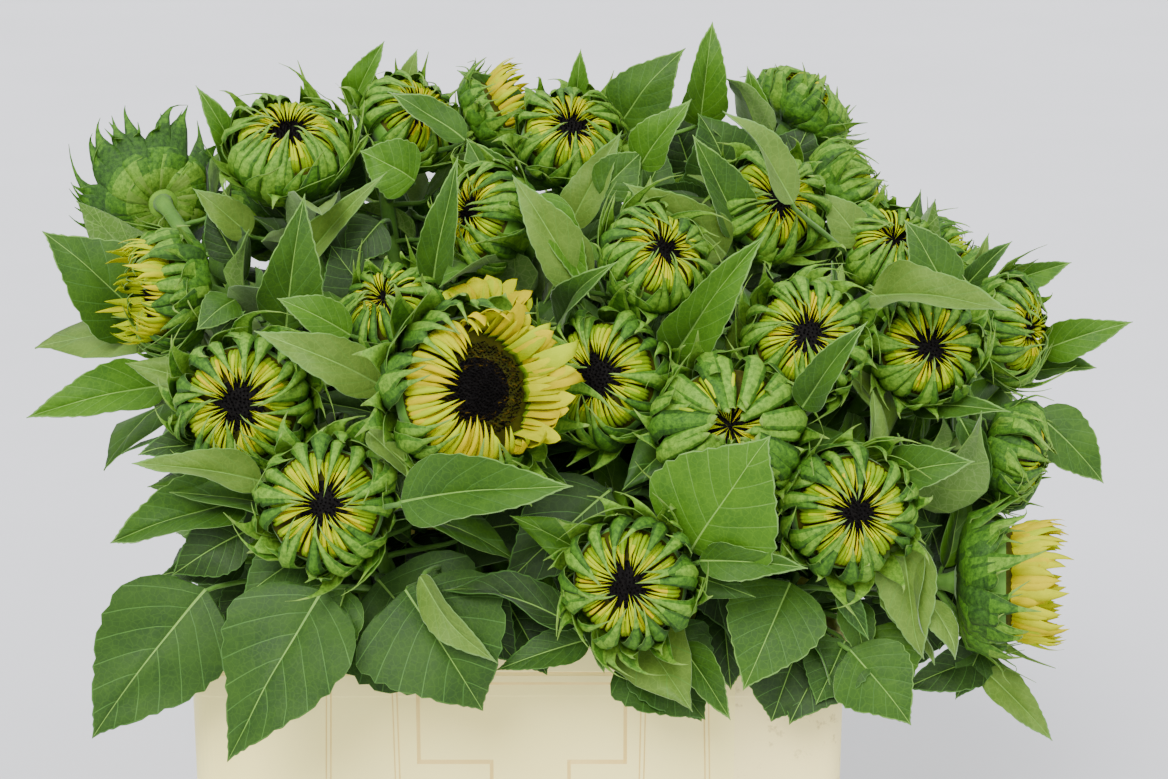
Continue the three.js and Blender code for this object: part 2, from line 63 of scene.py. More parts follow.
# One row a flower: the middle of its head, where it faces, the head's radius, how far it is open,
# and the leaves that have a place: [start from the head's middle], turn, rise, length, breadth, roll.
flowers = [
    ([-109, -180, 358], 268, 18, 36, 0.3,
     [([-39, 22, 8], 191, 12, 78, 0.35), ([-2, -10, -48], 205, -58, 115, 0.62),
      ([10, 5, -53], 231, -65, 61, 0.5), ([46, -38, 14], 352, 8, 101, 0.42)]),
    ([-162, -120, 402], 263, 15, 38, 0.45,
     [([-55, 60, -4], 194, -10, 88, 0.4), ([2, -20, -53], 187, -16, 87, 0.5),
      ([-1, -10, -94], 191, -7, 52, 0.5), ([-20, -45, -100], 200, -50, 113, 0.62)]),
    ([-26, -165, 422], 293, 18, 47, 0.8,
     [([-38, -15, -115], 332, -52, 87, 0.95), ([-21, -40, -98], 345, -53, 65, 0.35, 40),
      ([-51, 25, -4], 188, 26, 85, 0.33), ([-58, -10, -21], 344, -42, 50, 0.35)]),
    ([66, -210, 322], 262, 10, 35, 0.42,
     [([-31, 10, -30], 173, 15, 82, 0.35, 30), ([-23, 20, -42], 185, -18, 58, 0.4),
      ([35, 10, 15], 340, 59, 88, 0.85), ([40, 5, 11], 344, 1, 64, 0.35),
      ([30, 25, -47], 341, -54, 55, 0.45), ([13, 35, -48], 342, -56, 58, 0.9)]),
    ([193, -175, 353], 282, 14, 36, 0.32,
     [([-28, -15, -40], 205, -59, 71, 0.75), ([-3, 5, -81], 199, -58, 59, 0.8),
      ([3, 0, -85], 344, -49, 58, 0.75), ([23, 25, 13], 343, 16, 56, 0.5),
      ([-5, -10, -45], 330, -54, 34, 0.4)]),
    ([288, -130, 294], 352, 2, 40, 0.85,
     [([-6, 0, -56], 346, -44, 60, 0.4), ([-56, -30, 34], 322, -77, 76, 0.45, 40)]),
    ([123, -165, 399], 272, 24, 39, 0.02,
     [([5, 47, 36], 33, 34, 74, 0.35), ([3, 15, -84], 277, -68, 54, 0.5)]),
    ([52, -122, 418], 250, 22, 37, 0.55,
     [([3, -28, -60], 205, -36, 89, 0.6), ([29, -28, 25], 0, 48, 94, 0.38),
      ([-41, -6, 41], 333, 35, 66, 0.35)]),
    ([170, -125, 443], 268, 28, 33, 0.3,
     [([41, 35, 18], 328, 1, 96, 0.35), ([-5, -56, -23], 353, 55, 61, 0.4)]),
    ([245, -90, 428], 275, 18, 31, 0.35, [([-2, -20, -29], 0, -3, 53, 0.35)]),
    ([-221, 0, 443], 205, 5, 35, 0.6,
     [([-20, 45, -33], 189, 45, 95, 0.62), ([20, -40, -21], 0, 31, 37, 0.8)]),
    ([309, 0, 418], 330, 8, 32, 0.4,
     [([26, 38, -24], 352, 21, 64, 0.38), ([21, 42, -38], 352, 6, 44, 0.5),
      ([3, 45, 19], 353, 21, 46, 0.45)]),
    ([303, -80, 359], 345, -8, 30, 0.12,
     [([18, 40, 16], 347, -44, 64, 0.55), ([-38, -30, 31], 0, -66, 49, 0.4)]),
    ([-20, -40, 498], 215, 25, 32, 0.45, []),
    ([82, -90, 484], 300, 38, 31, 0.35,
     [([-8, 70, 42], 0, 53, 54, 0.5), ([40, 90, 14], 180, 16, 46, 0.7), ([-43, 0, -19], 180, 59, 83, 0.38)]),
    ([-146, 30, 529], 270, 60, 37, 0.42,
     [([-15, -40, -62], 0, 35, 98, 0.3), ([-29, 10, 7], 180, 47, 45, 0.5),
      ([-26, -10, -54], 180, 41, 47, 0.5)]),
    ([-72, 70, 539], 318, 45, 32, 0.5,
     [([-38, 10, 9], 0, 63, 48, 0.45), ([-6, 38, 13], 13, 73, 31, 0.4),
      ([6, -60, -27], 180, 29, 40, 0.95), ([-12, -70, -47], 191, -50, 41, 0.7)]),
    ([-18, 104, 537], 0, 30, 29, 0.85,
     [([19, -4, 4], 180, 32, 53, 0.35), ([5, -74, -35], 180, 60, 38, 0.6)]),
    ([30, 50, 532], 280, 46, 32, 0.36,
     [([84, 0, 8], 0, 84, 69, 0.5), ([33, 10, 13], 0, 48, 62, 0.6), ([5, 30, 12], 0, 86, 42, 0.5),
      ([1, -70, -44], 0, 62, 70, 0.35)]),
    ([185, 120, 541], 25, 48, 30, 0.1, [([-19, -10, -11], 180, 65, 45, 0.5)]),
    ([155, -20, 502], 292, 28, 32, 0.3,
     [([-21, -40, -16], 180, 29, 82, 0.38), ([-19, -20, -14], 180, 64, 70, 0.45)]),
    ([212, 60, 496], 2, 30, 30, 0.25, []),
    ([-20, -93, 436], 268, 62, 30, 0.9, []),
    ([-245, 110, 485], 112, 8, 36, 0.6, []),
    ([229, 0, 470], 300, 42, 29, 0.15,
     [([42, -20, -23], 162, 54, 57, 0.6), ([-16, -10, 6], 180, 51, 44, 0.55)]),
    ([278, 60, 449], 12, 38, 28, 0.35, []),
    ([-78, -60, 445], 240, 50, 29, 0.12,
     [([-63, -10, -10], 0, 81, 87, 0.4), ([26, 0, 16], 0, 79, 83, 0.3), ([-22, -30, -8], 180, 28, 51, 0.5)]),
    ([-165, 122, 470], 112, 34, 33, 0.4, []),
    ([-72, 172, 446], 98, 20, 34, 0.5, []),
    ([28, 188, 424], 88, 14, 34, 0.35, []),
    ([116, 172, 470], 84, 36, 32, 0.2, []),
    ([196, 190, 408], 76, 14, 34, 0.55, []),
    ([276, 142, 396], 48, 12, 32, 0.3, []),
    ([-196, 158, 376], 124, 6, 33, 0.3, []),
]
# Heads from this number on are fused on their stems, and this many at the end are hidden in the photo.
first_fused = 25
hidden_heads = 7

# Finer leaves that have a place: the flower, where the blade starts, its tip, its breadth, its roll
# and its look. The deep and dark looks (1 and 3) are painted shade between and under other leaves.
more_leaves = [
    (1, [-82, -148, 302], [-22, -162, 230], 0.95, 0, 1), (4, [-5, -160, 292], [19, -185, 255], 1.0, 0, 3),
    (1, [-39, -160, 300], [3, -190, 264], 0.7, 0, 3), (4, [43, -190, 291], [52, -200, 262], 0.5, 0, 0),
    (4, [54, -175, 280], [66, -185, 255], 0.8, 0, 3), (4, [73, -172, 273], [111, -190, 229], 1.05, 0, 1),
    (5, [168, -160, 269], [150, -180, 223], 1.2, 0, 3), (5, [194, -165, 270], [176, -180, 235], 0.9, 0, 1),
    (5, [209, -152, 273], [229, -166, 231], 1.0, 0, 2), (6, [284, -120, 244], [229, -150, 233], 0.5, 0, 3),
    (6, [226, -165, 334], [238, -180, 260], 0.42, 25, 4),
    (6, [242, -168, 296], [259, -180, 263], 0.55, -25, 4),
    (2, [-159, -146, 332], [-205, -156, 306], 0.6, 0, 3),
    (1, [-114, -150, 326], [-162, -168, 296], 0.75, 0, 1),
    (5, [233, -130, 284], [217, -150, 233], 0.9, 0, 3), (6, [270, -105, 300], [255, -125, 248], 0.7, 0, 3),
    (6, [283, -118, 253], [264, -140, 222], 0.6, 0, 1), (5, [198, -150, 290], [207, -170, 255], 0.5, 0, 0),
    (13, [287, -60, 376], [298, -60, 321], 0.5, 0, 3), (7, [109, -140, 321], [129, -160, 269], 0.6, 0, 3),
    (2, [-181, -110, 377], [-227, -120, 371], 0.5, 0, 3),
    (11, [-176, -30, 445], [-199, -50, 430], 0.7, 0, 0),
    (12, [268, -30, 345], [248, -60, 308], 0.6, 0, 3),
    (25, [166, -62, 512], [123, -55, 569], 0.36, 20, 4), (26, [281, 25, 438], [313, 25, 472], 0.3, 0, 1),
    (26, [289, 35, 441], [299, 35, 474], 0.35, 0, 4), (14, [-92, -20, 441], [-119, -5, 474], 1.0, 0, 3),
    (11, [-180, 15, 459], [-200, 25, 493], 0.6, 0, 3), (22, [136, 40, 500], [113, 40, 552], 0.9, 0, 1),
    (19, [50, -30, 511], [77, -20, 537], 0.7, 0, 0), (14, [14, -75, 520], [44, -100, 461], 0.35, 0, 2),
    (17, [-35, 26, 535], [-85, 36, 565], 0.36, 10, 0), (14, [-12, 0, 500], [-34, 8, 540], 0.7, 0, 0),
    (17, [-70, 105, 500], [-96, 112, 535], 0.8, 0, 3), (18, [-30, 120, 505], [-52, 125, 545], 0.8, 0, 1),
    (19, [20, 100, 490], [2, 108, 527], 0.8, 0, 1), (16, [-120, 70, 492], [-104, 62, 530], 0.7, 0, 3),
    (19, [110, 95, 503], [93, 105, 545], 0.9, 0, 3), (22, [172, 90, 499], [189, 100, 534], 0.9, 0, 3),
    (19, [49, 10, 474], [58, 20, 512], 0.7, 0, 1), (17, [-91, 60, 513], [-80, 70, 540], 0.8, 0, 3),
    (21, [76, 60, 487], [94, 70, 521], 0.9, 0, 1), (13, [257, -95, 300], [240, -100, 343], 0.7, 0, 3),
    (13, [277, -85, 317], [265, -80, 348], 0.9, 0, 1),
    (5, [122, -148, 286], [127, -166, 238], 0.72, 0, 3),
    (2, [-166, -95, 302], [-189, -112, 256], 0.8, 0, 1),
    (1, [-152, -112, 285], [-177, -122, 251], 0.9, 0, 3),
]

# The look of each leaf that has a place, in the order of its flower's row.
row_looks = {
    1: [4, 1, 0, 0], 2: [2, 0, 3, 1], 3: [1, 4, 4, 4], 4: [3, 1, 2, 0, 0, 1], 5: [0, 3, 0, 0, 1],
    6: [4, 4], 7: [4, 3], 8: [3, 2, 0], 9: [4, 0], 10: [0], 11: [0, 1], 12: [2, 0, 2], 13: [0, 1],
    15: [2, 1, 4], 16: [4, 2, 4], 17: [2, 4, 2, 3], 18: [0, 0], 19: [2, 0, 2, 4], 20: [2], 21: [4, 0],
    25: [0, 4], 27: [0, 0, 2],
}

# Leaves by rule, the solids' own and then the finer ones between them.
grown = {
    "count": 9, "golden_angle": 137.5, "stem_turn": 71, "first": 12, "step": 13, "rise": 50, "rise_step": 9,
    "length": 56, "length_step": 6, "loose_length": 16, "loose_reach": 10, "loose_rise": 24,
    "loose_turn": 30, "loose_roll": 50,
}
finer = {
    **grown, "count": 16, "stem_turn": 113, "first": 15, "step": 8.5, "rise": 58, "rise_step": 5,
    "length": 36, "length_step": 2.4, "loose_length": 18, "loose_reach": 3, "loose_rise": 40,
}
# A leaf that isn't in the solids, or has no room, is tried again further back, or turned and raised.
tries = 9
try_back = 7
try_turn = 47
try_rise = 9
lowest_stalk = crate["height"] + 5
# The view of a head's face stays open from this share of its radius to so many millimetres ahead.
face_view = (0.2, 130)


def chance(a, b, c):
    """The same share from 0 to 1 for the same three numbers."""
    spun = math.sin(a * 127.1 + b * 311.7 + c * 74.7) * 43758.5453
    return spun - math.floor(spun)


def unit(v):
    return v / np.linalg.norm(v, axis=-1, keepdims=True)


def direction(turn, rise):
    """The way that is turned from +X and raised from level by these angles."""
    turn, rise = math.radians(turn), math.radians(rise)
    return np.array([math.cos(rise) * math.cos(turn), math.cos(rise) * math.sin(turn), math.sin(rise)])


def around(sides):
    """The angles of so many places round a circle."""
    return np.arange(sides) * 2 * math.pi / sides


def share_of(value, start, end):
    """How far a value is from the start to the end, from 0 to 1."""
    return np.clip((value - start) / (end - start), 0, 1)


def in_scene(name, data):
    """A new object with this data, put in the scene."""
    made = bpy.data.objects.new(name, data)
    bpy.context.scene.collection.objects.link(made)
    return made


def corner_tree(nodes):
    """The corners of these solids, to be found by their places."""
    corners = [vertex.co for node in nodes for vertex in node.data.vertices]
    tree = KDTree(len(corners))
    for i, corner in enumerate(corners):
        tree.insert(corner, i)
    tree.balance()
    return tree


def through(points, t):
    """Places at shares t of a smooth line through the points."""
    points = np.asarray(points, float)
    padded = np.vstack([2 * points[0] - points[1], points, 2 * points[-1] - points[-2]])
    place = np.clip(np.asarray(t, float) * (len(points) - 1), 0, len(points) - 1 - 1e-9)
    k = place.astype(int)
    f = (place - k)[:, None]
    a, b, c, d = (padded[k + i] for i in range(4))
    return 0.5 * (2 * b + (c - a) * f + (2 * a - 5 * b + 4 * c - d) * f**2 + (3 * b - a - 3 * c + d) * f**3)


def bezier(points, t):
    """Places at shares t of the cubic curve with these four points."""
    t = np.atleast_1d(t)[:, None]
    a, b, c, d = points
    return a * (1 - t) ** 3 + b * 3 * t * (1 - t) ** 2 + c * 3 * t**2 * (1 - t) + d * t**3


class Heap:
    """Closed shapes gathered into one piece. A look is the number of a material in the piece's list."""

    def __init__(self, name, materials, slot):
        self.name, self.materials, self.slot = name, materials, slot
        self.points, self.corners, self.sizes, self.looks, self.smooth = [], [], [], [], []
        self.first, self.count = 0, 0

    def add(self, points, faces, looks, smooth=True):
        """Points, and faces between them: an array with a row of corners for each face."""
        self.first = self.count
        self.count += len(points)
        self.points.append(points)
        self.more(faces, looks, smooth)

    def more(self, faces, looks, smooth=True):
        """More faces on the points that were added last."""
        self.corners.append(faces.ravel() + self.first)
        self.sizes.append(np.full(len(faces), faces.shape[1]))
        self.looks.append(np.broadcast_to(looks, len(faces)))
        self.smooth.append(np.broadcast_to(smooth, len(faces)))

    def piece(self, nodes):
        """One mesh of all that was added, in place of these nodes."""
        points, corners, sizes = map(np.concatenate, (self.points, self.corners, self.sizes))
        starts = np.cumsum(sizes) - sizes
        mesh = bpy.data.meshes.new(self.name)
        mesh.vertices.add(len(points))
        mesh.vertices.foreach_set("co", (points * MM).astype(np.float32).ravel())
        mesh.loops.add(len(corners))
        mesh.loops.foreach_set("vertex_index", corners.astype(np.int32))
        mesh.polygons.add(len(sizes))
        mesh.polygons.foreach_set("loop_start", starts.astype(np.int32))
        mesh.polygons.foreach_set("material_index", np.concatenate(self.looks).astype(np.int32))
        mesh.polygons.foreach_set("use_smooth", np.concatenate(self.smooth).astype(bool))
        mesh.update(calc_edges=True)
        for material in self.materials:
            mesh.materials.append(material)
        made = in_scene(self.name, mesh)
        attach(made, "root")
        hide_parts(*nodes)
        print(self.name, "triangles", int((sizes - 2).sum()))


# The corners of a face the other way round, from the same first one.
flipped = [0, 3, 2, 1]


def grid_faces(rows, columns, closed=False):
    """Faces between the rows and columns of a grid of points. Its rows may be closed rings."""
    r, c = np.meshgrid(np.arange(rows - 1), np.arange(columns if closed else columns - 1), indexing="ij")
    a = (r * columns + c).ravel()
    b = (r * columns + (c + 1) % columns).ravel()
    return np.stack([a, a + columns, b + columns, b], 1)


def add_rings(heap, rings, looks, end_looks, smooth=True):
    """A closed shape on rings of points, with a flat face at each end."""
    rows, sides = rings.shape[:2]
    heap.add(rings.reshape(-1, 3), grid_faces(rows, sides, True)[:, flipped], looks, smooth)
    heap.more(np.arange(sides)[None, ::-1], end_looks[0], False)
    heap.more((rows - 1) * sides + np.arange(sides)[None, :], end_looks[1], False)


def add_sheet(heap, top, under, looks, under_looks, rim_look):
    """A thin closed sheet between two grids of points, rows going ahead and columns to the side."""
    rows, columns = top.shape[:2]
    lower = rows * columns
    faces = grid_faces(rows, columns)
    heap.add(np.concatenate([top.reshape(-1, 3), under.reshape(-1, 3)]), faces, looks.ravel())
    # The underside's faces start at the same corner, so that both are split along the same diagonal.
    heap.more(faces[:, flipped] + lower, under_looks.ravel())

    def rim_faces(a, step):
        return np.stack([a, a + lower, a + step + lower, a + step], 1)

    side, foot = np.arange(rows - 1) * columns, np.arange(columns - 1)
    heap.more(np.concatenate([
        rim_faces(side, columns), rim_faces(side + columns - 1, columns)[:, flipped],
        rim_faces(foot, 1)[:, flipped], rim_faces(foot + (rows - 1) * columns, 1),
    ]), rim_look, False)


# A way that no tube starts along, which sets off the first side of each.
off_axis = np.array([0.31, 0.17, 0.94])


def add_tube(heap, centres, radii, sides, look):
    """A round closed tube along the centres."""
    ways = unit(np.gradient(centres, axis=0))
    side = np.cross(off_axis, ways[0])
    angles = around(sides)
    rings = []
    for centre, way, radius in zip(centres, ways, radii):
        side = unit(side - way * side.dot(way))
        other = np.cross(way, side)
        rings.append(centre + radius * (np.outer(np.cos(angles), side) + np.outer(np.sin(angles), other)))
    add_rings(heap, np.array(rings), look, (look, look))


# Materials

# What every material shares: the patches' grain, a leaf's net of finest veins, the relief and sheen.
patch_grain = {"Detail": 6, "Roughness": 0.66}
net_scale = 240
net_strength = {"From Max": 0.09, "To Min": 0.42, "To Max": 0}
net_lighter = (12, 14, 5)
relief_height = 0.3
sheen_roughness = 0.5
# The sockets by which a Mix node blends colours.
mix = {"share": 0, "first": 6, "second": 7, "result": 2}


def srgb(red, green, blue):
    """A colour given by its values from 0 to 255, as linear shares and full cover."""
    share = np.array([red, green, blue]) / 255
    linear = np.where(share < 0.04045, share / 12.92, ((share + 0.055) / 1.055) ** 2.4)
    return (*linear.tolist(), 1.0)


def finish(name, tint, other, scale=60, rough=(0.5, 0.7), bump=0.25, fine=900, sheen=0.0, specular=0.35,
           spread=(0.35, 0.65), net=None):
    """A matte procedural material: two tints in soft patches, a fine relief, and a leaf's finest veins."""
    material = bpy.data.materials.new(name)
    material.use_nodes = True
    nodes, links = material.node_tree.nodes, material.node_tree.links
    shader = nodes["Principled BSDF"]
    place = nodes.new("ShaderNodeTexCoord").outputs["Object"]

    def add(kind, source, socket, settings, **traits):
        """A node of this kind and traits, with one input linked to the source and others set."""
        made = nodes.new(kind)
        for key, value in traits.items():
            setattr(made, key, value)
        for key, value in settings.items():
            made.inputs[key].default_value = value
        links.new(source, made.inputs[socket])
        return made

    patches = add("ShaderNodeTexNoise", place, "Vector", {"Scale": scale, **patch_grain}).outputs["Fac"]
    ramp = add("ShaderNodeValToRGB", patches, "Fac", {})
    for stop, position, shade in zip(ramp.color_ramp.elements, spread, (tint, other)):
        stop.position, stop.color = position, srgb(*shade)
    colour = ramp.outputs["Color"]
    if net:
        net_cells = {"Scale": net_scale}
        cells = add("ShaderNodeTexVoronoi", place, "Vector", net_cells, feature="DISTANCE_TO_EDGE")
        threads = add("ShaderNodeMapRange", cells.outputs["Distance"], "Value", net_strength)
        blend = add("ShaderNodeMix", threads.outputs["Result"], mix["share"], {}, data_type="RGBA")
        blend.inputs[mix["second"]].default_value = srgb(*net)
        links.new(colour, blend.inputs[mix["first"]])
        colour = blend.outputs[mix["result"]]
    dullness = add("ShaderNodeMapRange", patches, "Value", {"To Min": rough[0], "To Max": rough[1]})
    relief = add("ShaderNodeTexVoronoi", place, "Vector", {"Scale": fine})
    bump_size = {"Strength": bump, "Distance": relief_height * MM}
    bumps = add("ShaderNodeBump", relief.outputs["Distance"], "Height", bump_size)
    links.new(colour, shader.inputs["Base Color"])
    links.new(dullness.outputs["Result"], shader.inputs["Roughness"])
    links.new(bumps.outputs["Normal"], shader.inputs["Normal"])
    shader.inputs["Specular IOR Level"].default_value = specular
    shader.inputs["Sheen Weight"].default_value = sheen
    shader.inputs["Sheen Roughness"].default_value = sheen_roughness
    return material


# The tops of leaves: mid green, deep, bright, dark and pale. They differ from leaf to leaf, and are
# painted light as well: deep and dark for shade inside the clump, bright and pale for light on top.
leaf_tints = [
    ((38, 71, 8), (52, 88, 10)),
    ((30, 60, 8), (43, 75, 11)),
    ((48, 87, 5), (64, 105, 7)),
    ((23, 46, 8), (35, 61, 11)),
    ((74, 104, 30), (92, 121, 42)),
]
deep_veined = (0, 1, 3)
dark_rimmed = (1, 3)
under_tints = [
    ((78, 114, 40), (98, 132, 56)),
    ((92, 124, 54), (112, 142, 72)),
    ((66, 102, 28), (86, 122, 42)),
]
leaf_finish = {"scale": 45, "rough": (0.5, 0.7), "bump": 0.4, "fine": 600, "sheen": 0.04, "specular": 0.22}
under_finish = {**leaf_finish, "rough": (0.65, 0.85), "sheen": 0.2, "net": (124, 152, 84)}
leaf_looks = [
    finish(f"leaf_top_{i}", tint, other, **leaf_finish, net=[a + b for a, b in zip(other, net_lighter)])
    for i, (tint, other) in enumerate(leaf_tints)
]
leaf_looks += [finish(f"leaf_under_{i}", *pair, **under_finish) for i, pair in enumerate(under_tints)]
leaf_looks += [
    finish("leaf_vein", (70, 112, 28), (86, 126, 38), 80, sheen=0.1),
    finish("leaf_vein_deep", (48, 90, 20), (62, 104, 27), 80, sheen=0.1),
    finish("leaf_rib", (94, 136, 44), (114, 152, 58), 80, sheen=0.2),
    finish("leaf_margin", (78, 120, 36), (98, 138, 52), 120, (0.6, 0.8), sheen=0.3),
]
vein_look, deep_vein_look, rib_look, margin_look = range(len(leaf_tints) + len(under_tints), len(leaf_looks))
stem_looks = [finish("stem_green", (66, 110, 26), (86, 130, 40), 90, (0.6, 0.8), 0.6, 1400, sheen=0.08)]

bract_finish = {"scale": 380, "rough": (0.55, 0.75), "bump": 0.6, "fine": 1100, "specular": 0.2}
bract_end_finish = {"scale": 140, "rough": (0.6, 0.8), "bump": 0.5, "fine": 1500, "sheen": 0.04}
bract_looks = [
    finish("bract_green", (36, 72, 14), (74, 120, 25), **bract_finish),
    finish("bract_lime", (64, 104, 24), (110, 150, 44), **bract_finish),
    finish("bract_deep", (24, 52, 12), (54, 92, 24), **bract_finish),
    finish("bract_edge", (76, 110, 34), (98, 132, 48), **bract_end_finish),
    finish("bract_tail", (90, 126, 36), (114, 144, 52), **bract_end_finish),
]
bract_green, bract_lime, bract_deep, bract_edge, bract_tail = range(len(bract_looks))

petal_finish = {"scale": 90, "rough": (0.7, 0.9), "bump": 0.4, "fine": 1600, "specular": 0.04}
petal_looks = [
    finish("petal_lemon", (150, 168, 0), (166, 182, 0), **petal_finish),
    finish("petal_yellow", (162, 166, 0), (178, 178, 0), **petal_finish),
    finish("petal_golden", (172, 160, 0), (186, 170, 0), **petal_finish),
    finish("petal_lime", (92, 132, 0), (132, 158, 2), 90, (0.6, 0.8), 0.4, 1600, specular=0.15),
    # An olive line on a petal's rim: painted shade between folded petals.
    finish("petal_shade_line", (88, 92, 0), (122, 120, 2), 120, (0.6, 0.8), 0.4, 1600, specular=0.04),
]
petal_tints = (0, 1, 2)
petal_foot = 3
petal_shade_line = 4

floret_finish = {"scale": 300, "bump": 0.5, "fine": 2500}
floret_looks = [
    finish("floret_black", (5, 3, 4), (13, 9, 9), **floret_finish, rough=(0.5, 0.8), specular=0.12),
    finish("floret_brown", (32, 25, 8), (50, 38, 10), **floret_finish, specular=0.15),
    finish("floret_gold", (74, 58, 8), (96, 76, 14), **floret_finish, specular=0.15),
]
floret_black, floret_brown, floret_gold = range(len(floret_looks))

receptacle_looks = [
    finish("receptacle_green", (68, 120, 22), (90, 142, 36), bump=0.4, sheen=0.15),
    finish("receptacle_lime", (100, 148, 34), (126, 172, 54), bump=0.4, sheen=0.15),
    finish("receptacle_dark", (6, 4, 4), (12, 9, 8), 200, (0.6, 0.8), 0.4, 1500, specular=0.1),
    finish("receptacle_olive", (46, 50, 6), (64, 62, 8), 200, (0.6, 0.8), 0.4, 1500, specular=0.1),
]
receptacle_green, receptacle_lime, disc_dark, disc_olive = range(len(receptacle_looks))

crate_looks = [
    finish("crate_cream", (255, 242, 160), (253, 236, 150), 9, (0.32, 0.48), 0.08, 260, spread=(0.3, 0.75)),
    # Darker peach: painted shade in the creases of the panel and ribs, and under the rim.
    finish("crate_crease_shade", (234, 206, 126), (226, 196, 112), 30, (0.4, 0.6), 0.1, 260),
    finish("crate_dirt", (253, 236, 163), (176, 152, 92), 75, (0.4, 0.7), 0.2, 500, spread=(0.57, 0.72)),
]
cream, crease_shade, dirt = range(len(crate_looks))


# Stems

class Plant:
    """A flower: its head, its stem's curve, and the nodes that it replaces."""

    def __init__(self, index):
        at, turn, rise, self.radius, self.open, self.rows = flowers[index]
        self.index, self.number = index, index + 1
        self.hidden = index >= len(flowers) - hidden_heads
        self.fused = self.number >= first_fused
        self.centre = np.array(at, float)
        self.axis = direction(turn, rise)
        self.side = unit(np.cross([0, 0, 1], self.axis))
        self.up = np.cross(self.axis, self.side)
        gap = -sunk if self.fused else touching
        neck = self.centre - self.axis * (neck_behind * self.radius + gap)
        foot = np.array([*self.centre[:2] * stem["spread"], crate["floor"] + touching])
        bend = np.array([foot[0], foot[1], crate["height"] + stem["bend_above"]])
        self.curve = (foot, bend, neck - self.axis * stem["neck_reach"], neck)
        self.leafy_node = f"leafy_stem_{self.number:02d}"
        self.bloom_node = f"bloom_{self.number:02d}"
        self.corners = corner_tree([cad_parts[self.leafy_node]])

    def on_stem(self, below):
        """The place on the stem about so many millimetres below its neck."""
        return bezier(self.curve, 1 - below / (3 * stem["neck_reach"]))[0]

    def in_head(self, out, along, angle):
        """Places by shares of the head's radius from and along its axis, at an angle about it."""
        out, along, angle = np.broadcast_arrays(out, along, angle)
        away = np.cos(angle)[..., None] * self.side + np.sin(angle)[..., None] * self.up
        return self.centre + self.radius * (out[..., None] * away + along[..., None] * self.axis)


plants = [Plant(index) for index in range(len(flowers))]


# Leaves

# A leaf of the source is known by the corners of its blade: shares along it, and sides of its edge.
solid_rows = np.array([0.34, 0.34, 0.68, 0.68, 1.0])
solid_sides = np.array([1, -1, 1, -1, 0])
solid_match = 0.3
solid_enough = 3


class Leaf:
    """Where a leaf's stalk starts and ends, and the blade's own three directions."""

    def __init__(self, root, base, ahead, length, width, facing, roll):
        roll = math.radians(roll)
        normal = unit(facing - ahead * facing.dot(ahead))
        self.normal = normal * math.cos(roll) + np.cross(ahead, normal) * math.sin(roll)
        self.side = np.cross(self.normal, ahead)
        self.root, self.base, self.ahead, self.length, self.width = root, base, ahead, length, width

    def half(self, along):
        taper = outline["scale"] * along ** outline["base"] * (1 - along) ** outline["tip"]
        return self.width / 2 * np.minimum(1, taper)

    def place(self, along, across, lift=0.0):
        """Places on the blade by the share along it, and millimetres across it and off it."""
        arch = math.radians(leaf_shape["arch"])
        along, across, lift = (x[..., None] for x in np.broadcast_arrays(along, across, lift))
        bend = arch * (0.5 - along)
        forward = (math.sin(arch / 2) - np.sin(bend)) / arch
        raised = (np.cos(bend) - math.cos(arch / 2)) / arch
        up = self.normal * np.cos(bend) - self.ahead * np.sin(bend)
        middle = self.base + self.ahead * self.length * forward + self.normal * self.length * raised
        return middle + self.side * across + up * lift

    def is_in(self, corners):
        """True if the solid with these corners has this leaf."""
        places = self.place(solid_rows, self.half(solid_rows) * solid_sides)
        return sum(corners.find(Vector(p * MM))[2] < solid_match * MM for p in places) >= solid_enough


skyward = np.array([0, 0, leaf_shape["skyward"]])
to_front = direction(**front)


def stalk_root(plant, base):
    """The place on the stem that a stalk to the base leaves from, where its rise is most usual."""
    best, least = None, None
    for below in range(stalk["highest"], stalk["lowest"] + 1, stalk["step"]):
        root = plant.on_stem(below)
        if root[2] < lowest_stalk and best is not None:
            break
        usual = root[2] + np.hypot(*(base - root)[:2]) * math.tan(math.radians(stalk["rise"]))
        miss = abs(base[2] - usual)
        if best is None or miss < least:
            best, least = root, miss
    return best


def leaf_between(plant, base, tip, breadth, roll, length=None):
    """A leaf from base to tip that faces the front. Its width is its breadth times its length."""
    reach = np.linalg.norm(tip - base)
    width = breadth * (length or reach)
    return Leaf(stalk_root(plant, base), base, (tip - base) / reach, reach, width, to_front + skyward, roll)


def posed_leaf(plant, row, attempt):
    """A leaf of the flowers table. Each attempt starts it further back and keeps its tip."""
    offset, turn, rise, length, breadth, roll = (*row, 0)[:6]
    start = plant.centre + np.array(offset, float)
    tip = start + direction(turn, rise) * length
    return leaf_between(plant, start - plant.axis * try_back * attempt, tip, breadth, roll, length)


def grown_leaves(plant, rule):
    """What the rule says of each leaf on this plant's stem that has its root above the crate."""
    i = plant.index
    for k in range(rule["count"]):
        length = rule["length"] + rule["length_step"] * k + rule["loose_length"] * chance(i, k, 1)
        reach = stalk["least"] + stalk["share"] * length + rule["loose_reach"] * k * chance(i, k, 2)
        rise = rule["rise"] - rule["rise_step"] * k + rule["loose_rise"] * (chance(i, k, 3) - 0.5)
        turn = rule["stem_turn"] * i + rule["golden_angle"] * k + rule["loose_turn"] * chance(i, k, 4)
        roll = rule["loose_roll"] * (chance(i, k, 5) - 0.5)
        broad = share_of(length, leaf_shape["slim_up_to"], leaf_shape["broad_from"])
        width = length * (leaf_shape["slim"] + (leaf_shape["broad"] - leaf_shape["slim"]) * broad)
        root = plant.on_stem(rule["first"] + rule["step"] * k)
        if root[2] >= lowest_stalk:
            yield root, reach, turn, rise, length, width, roll


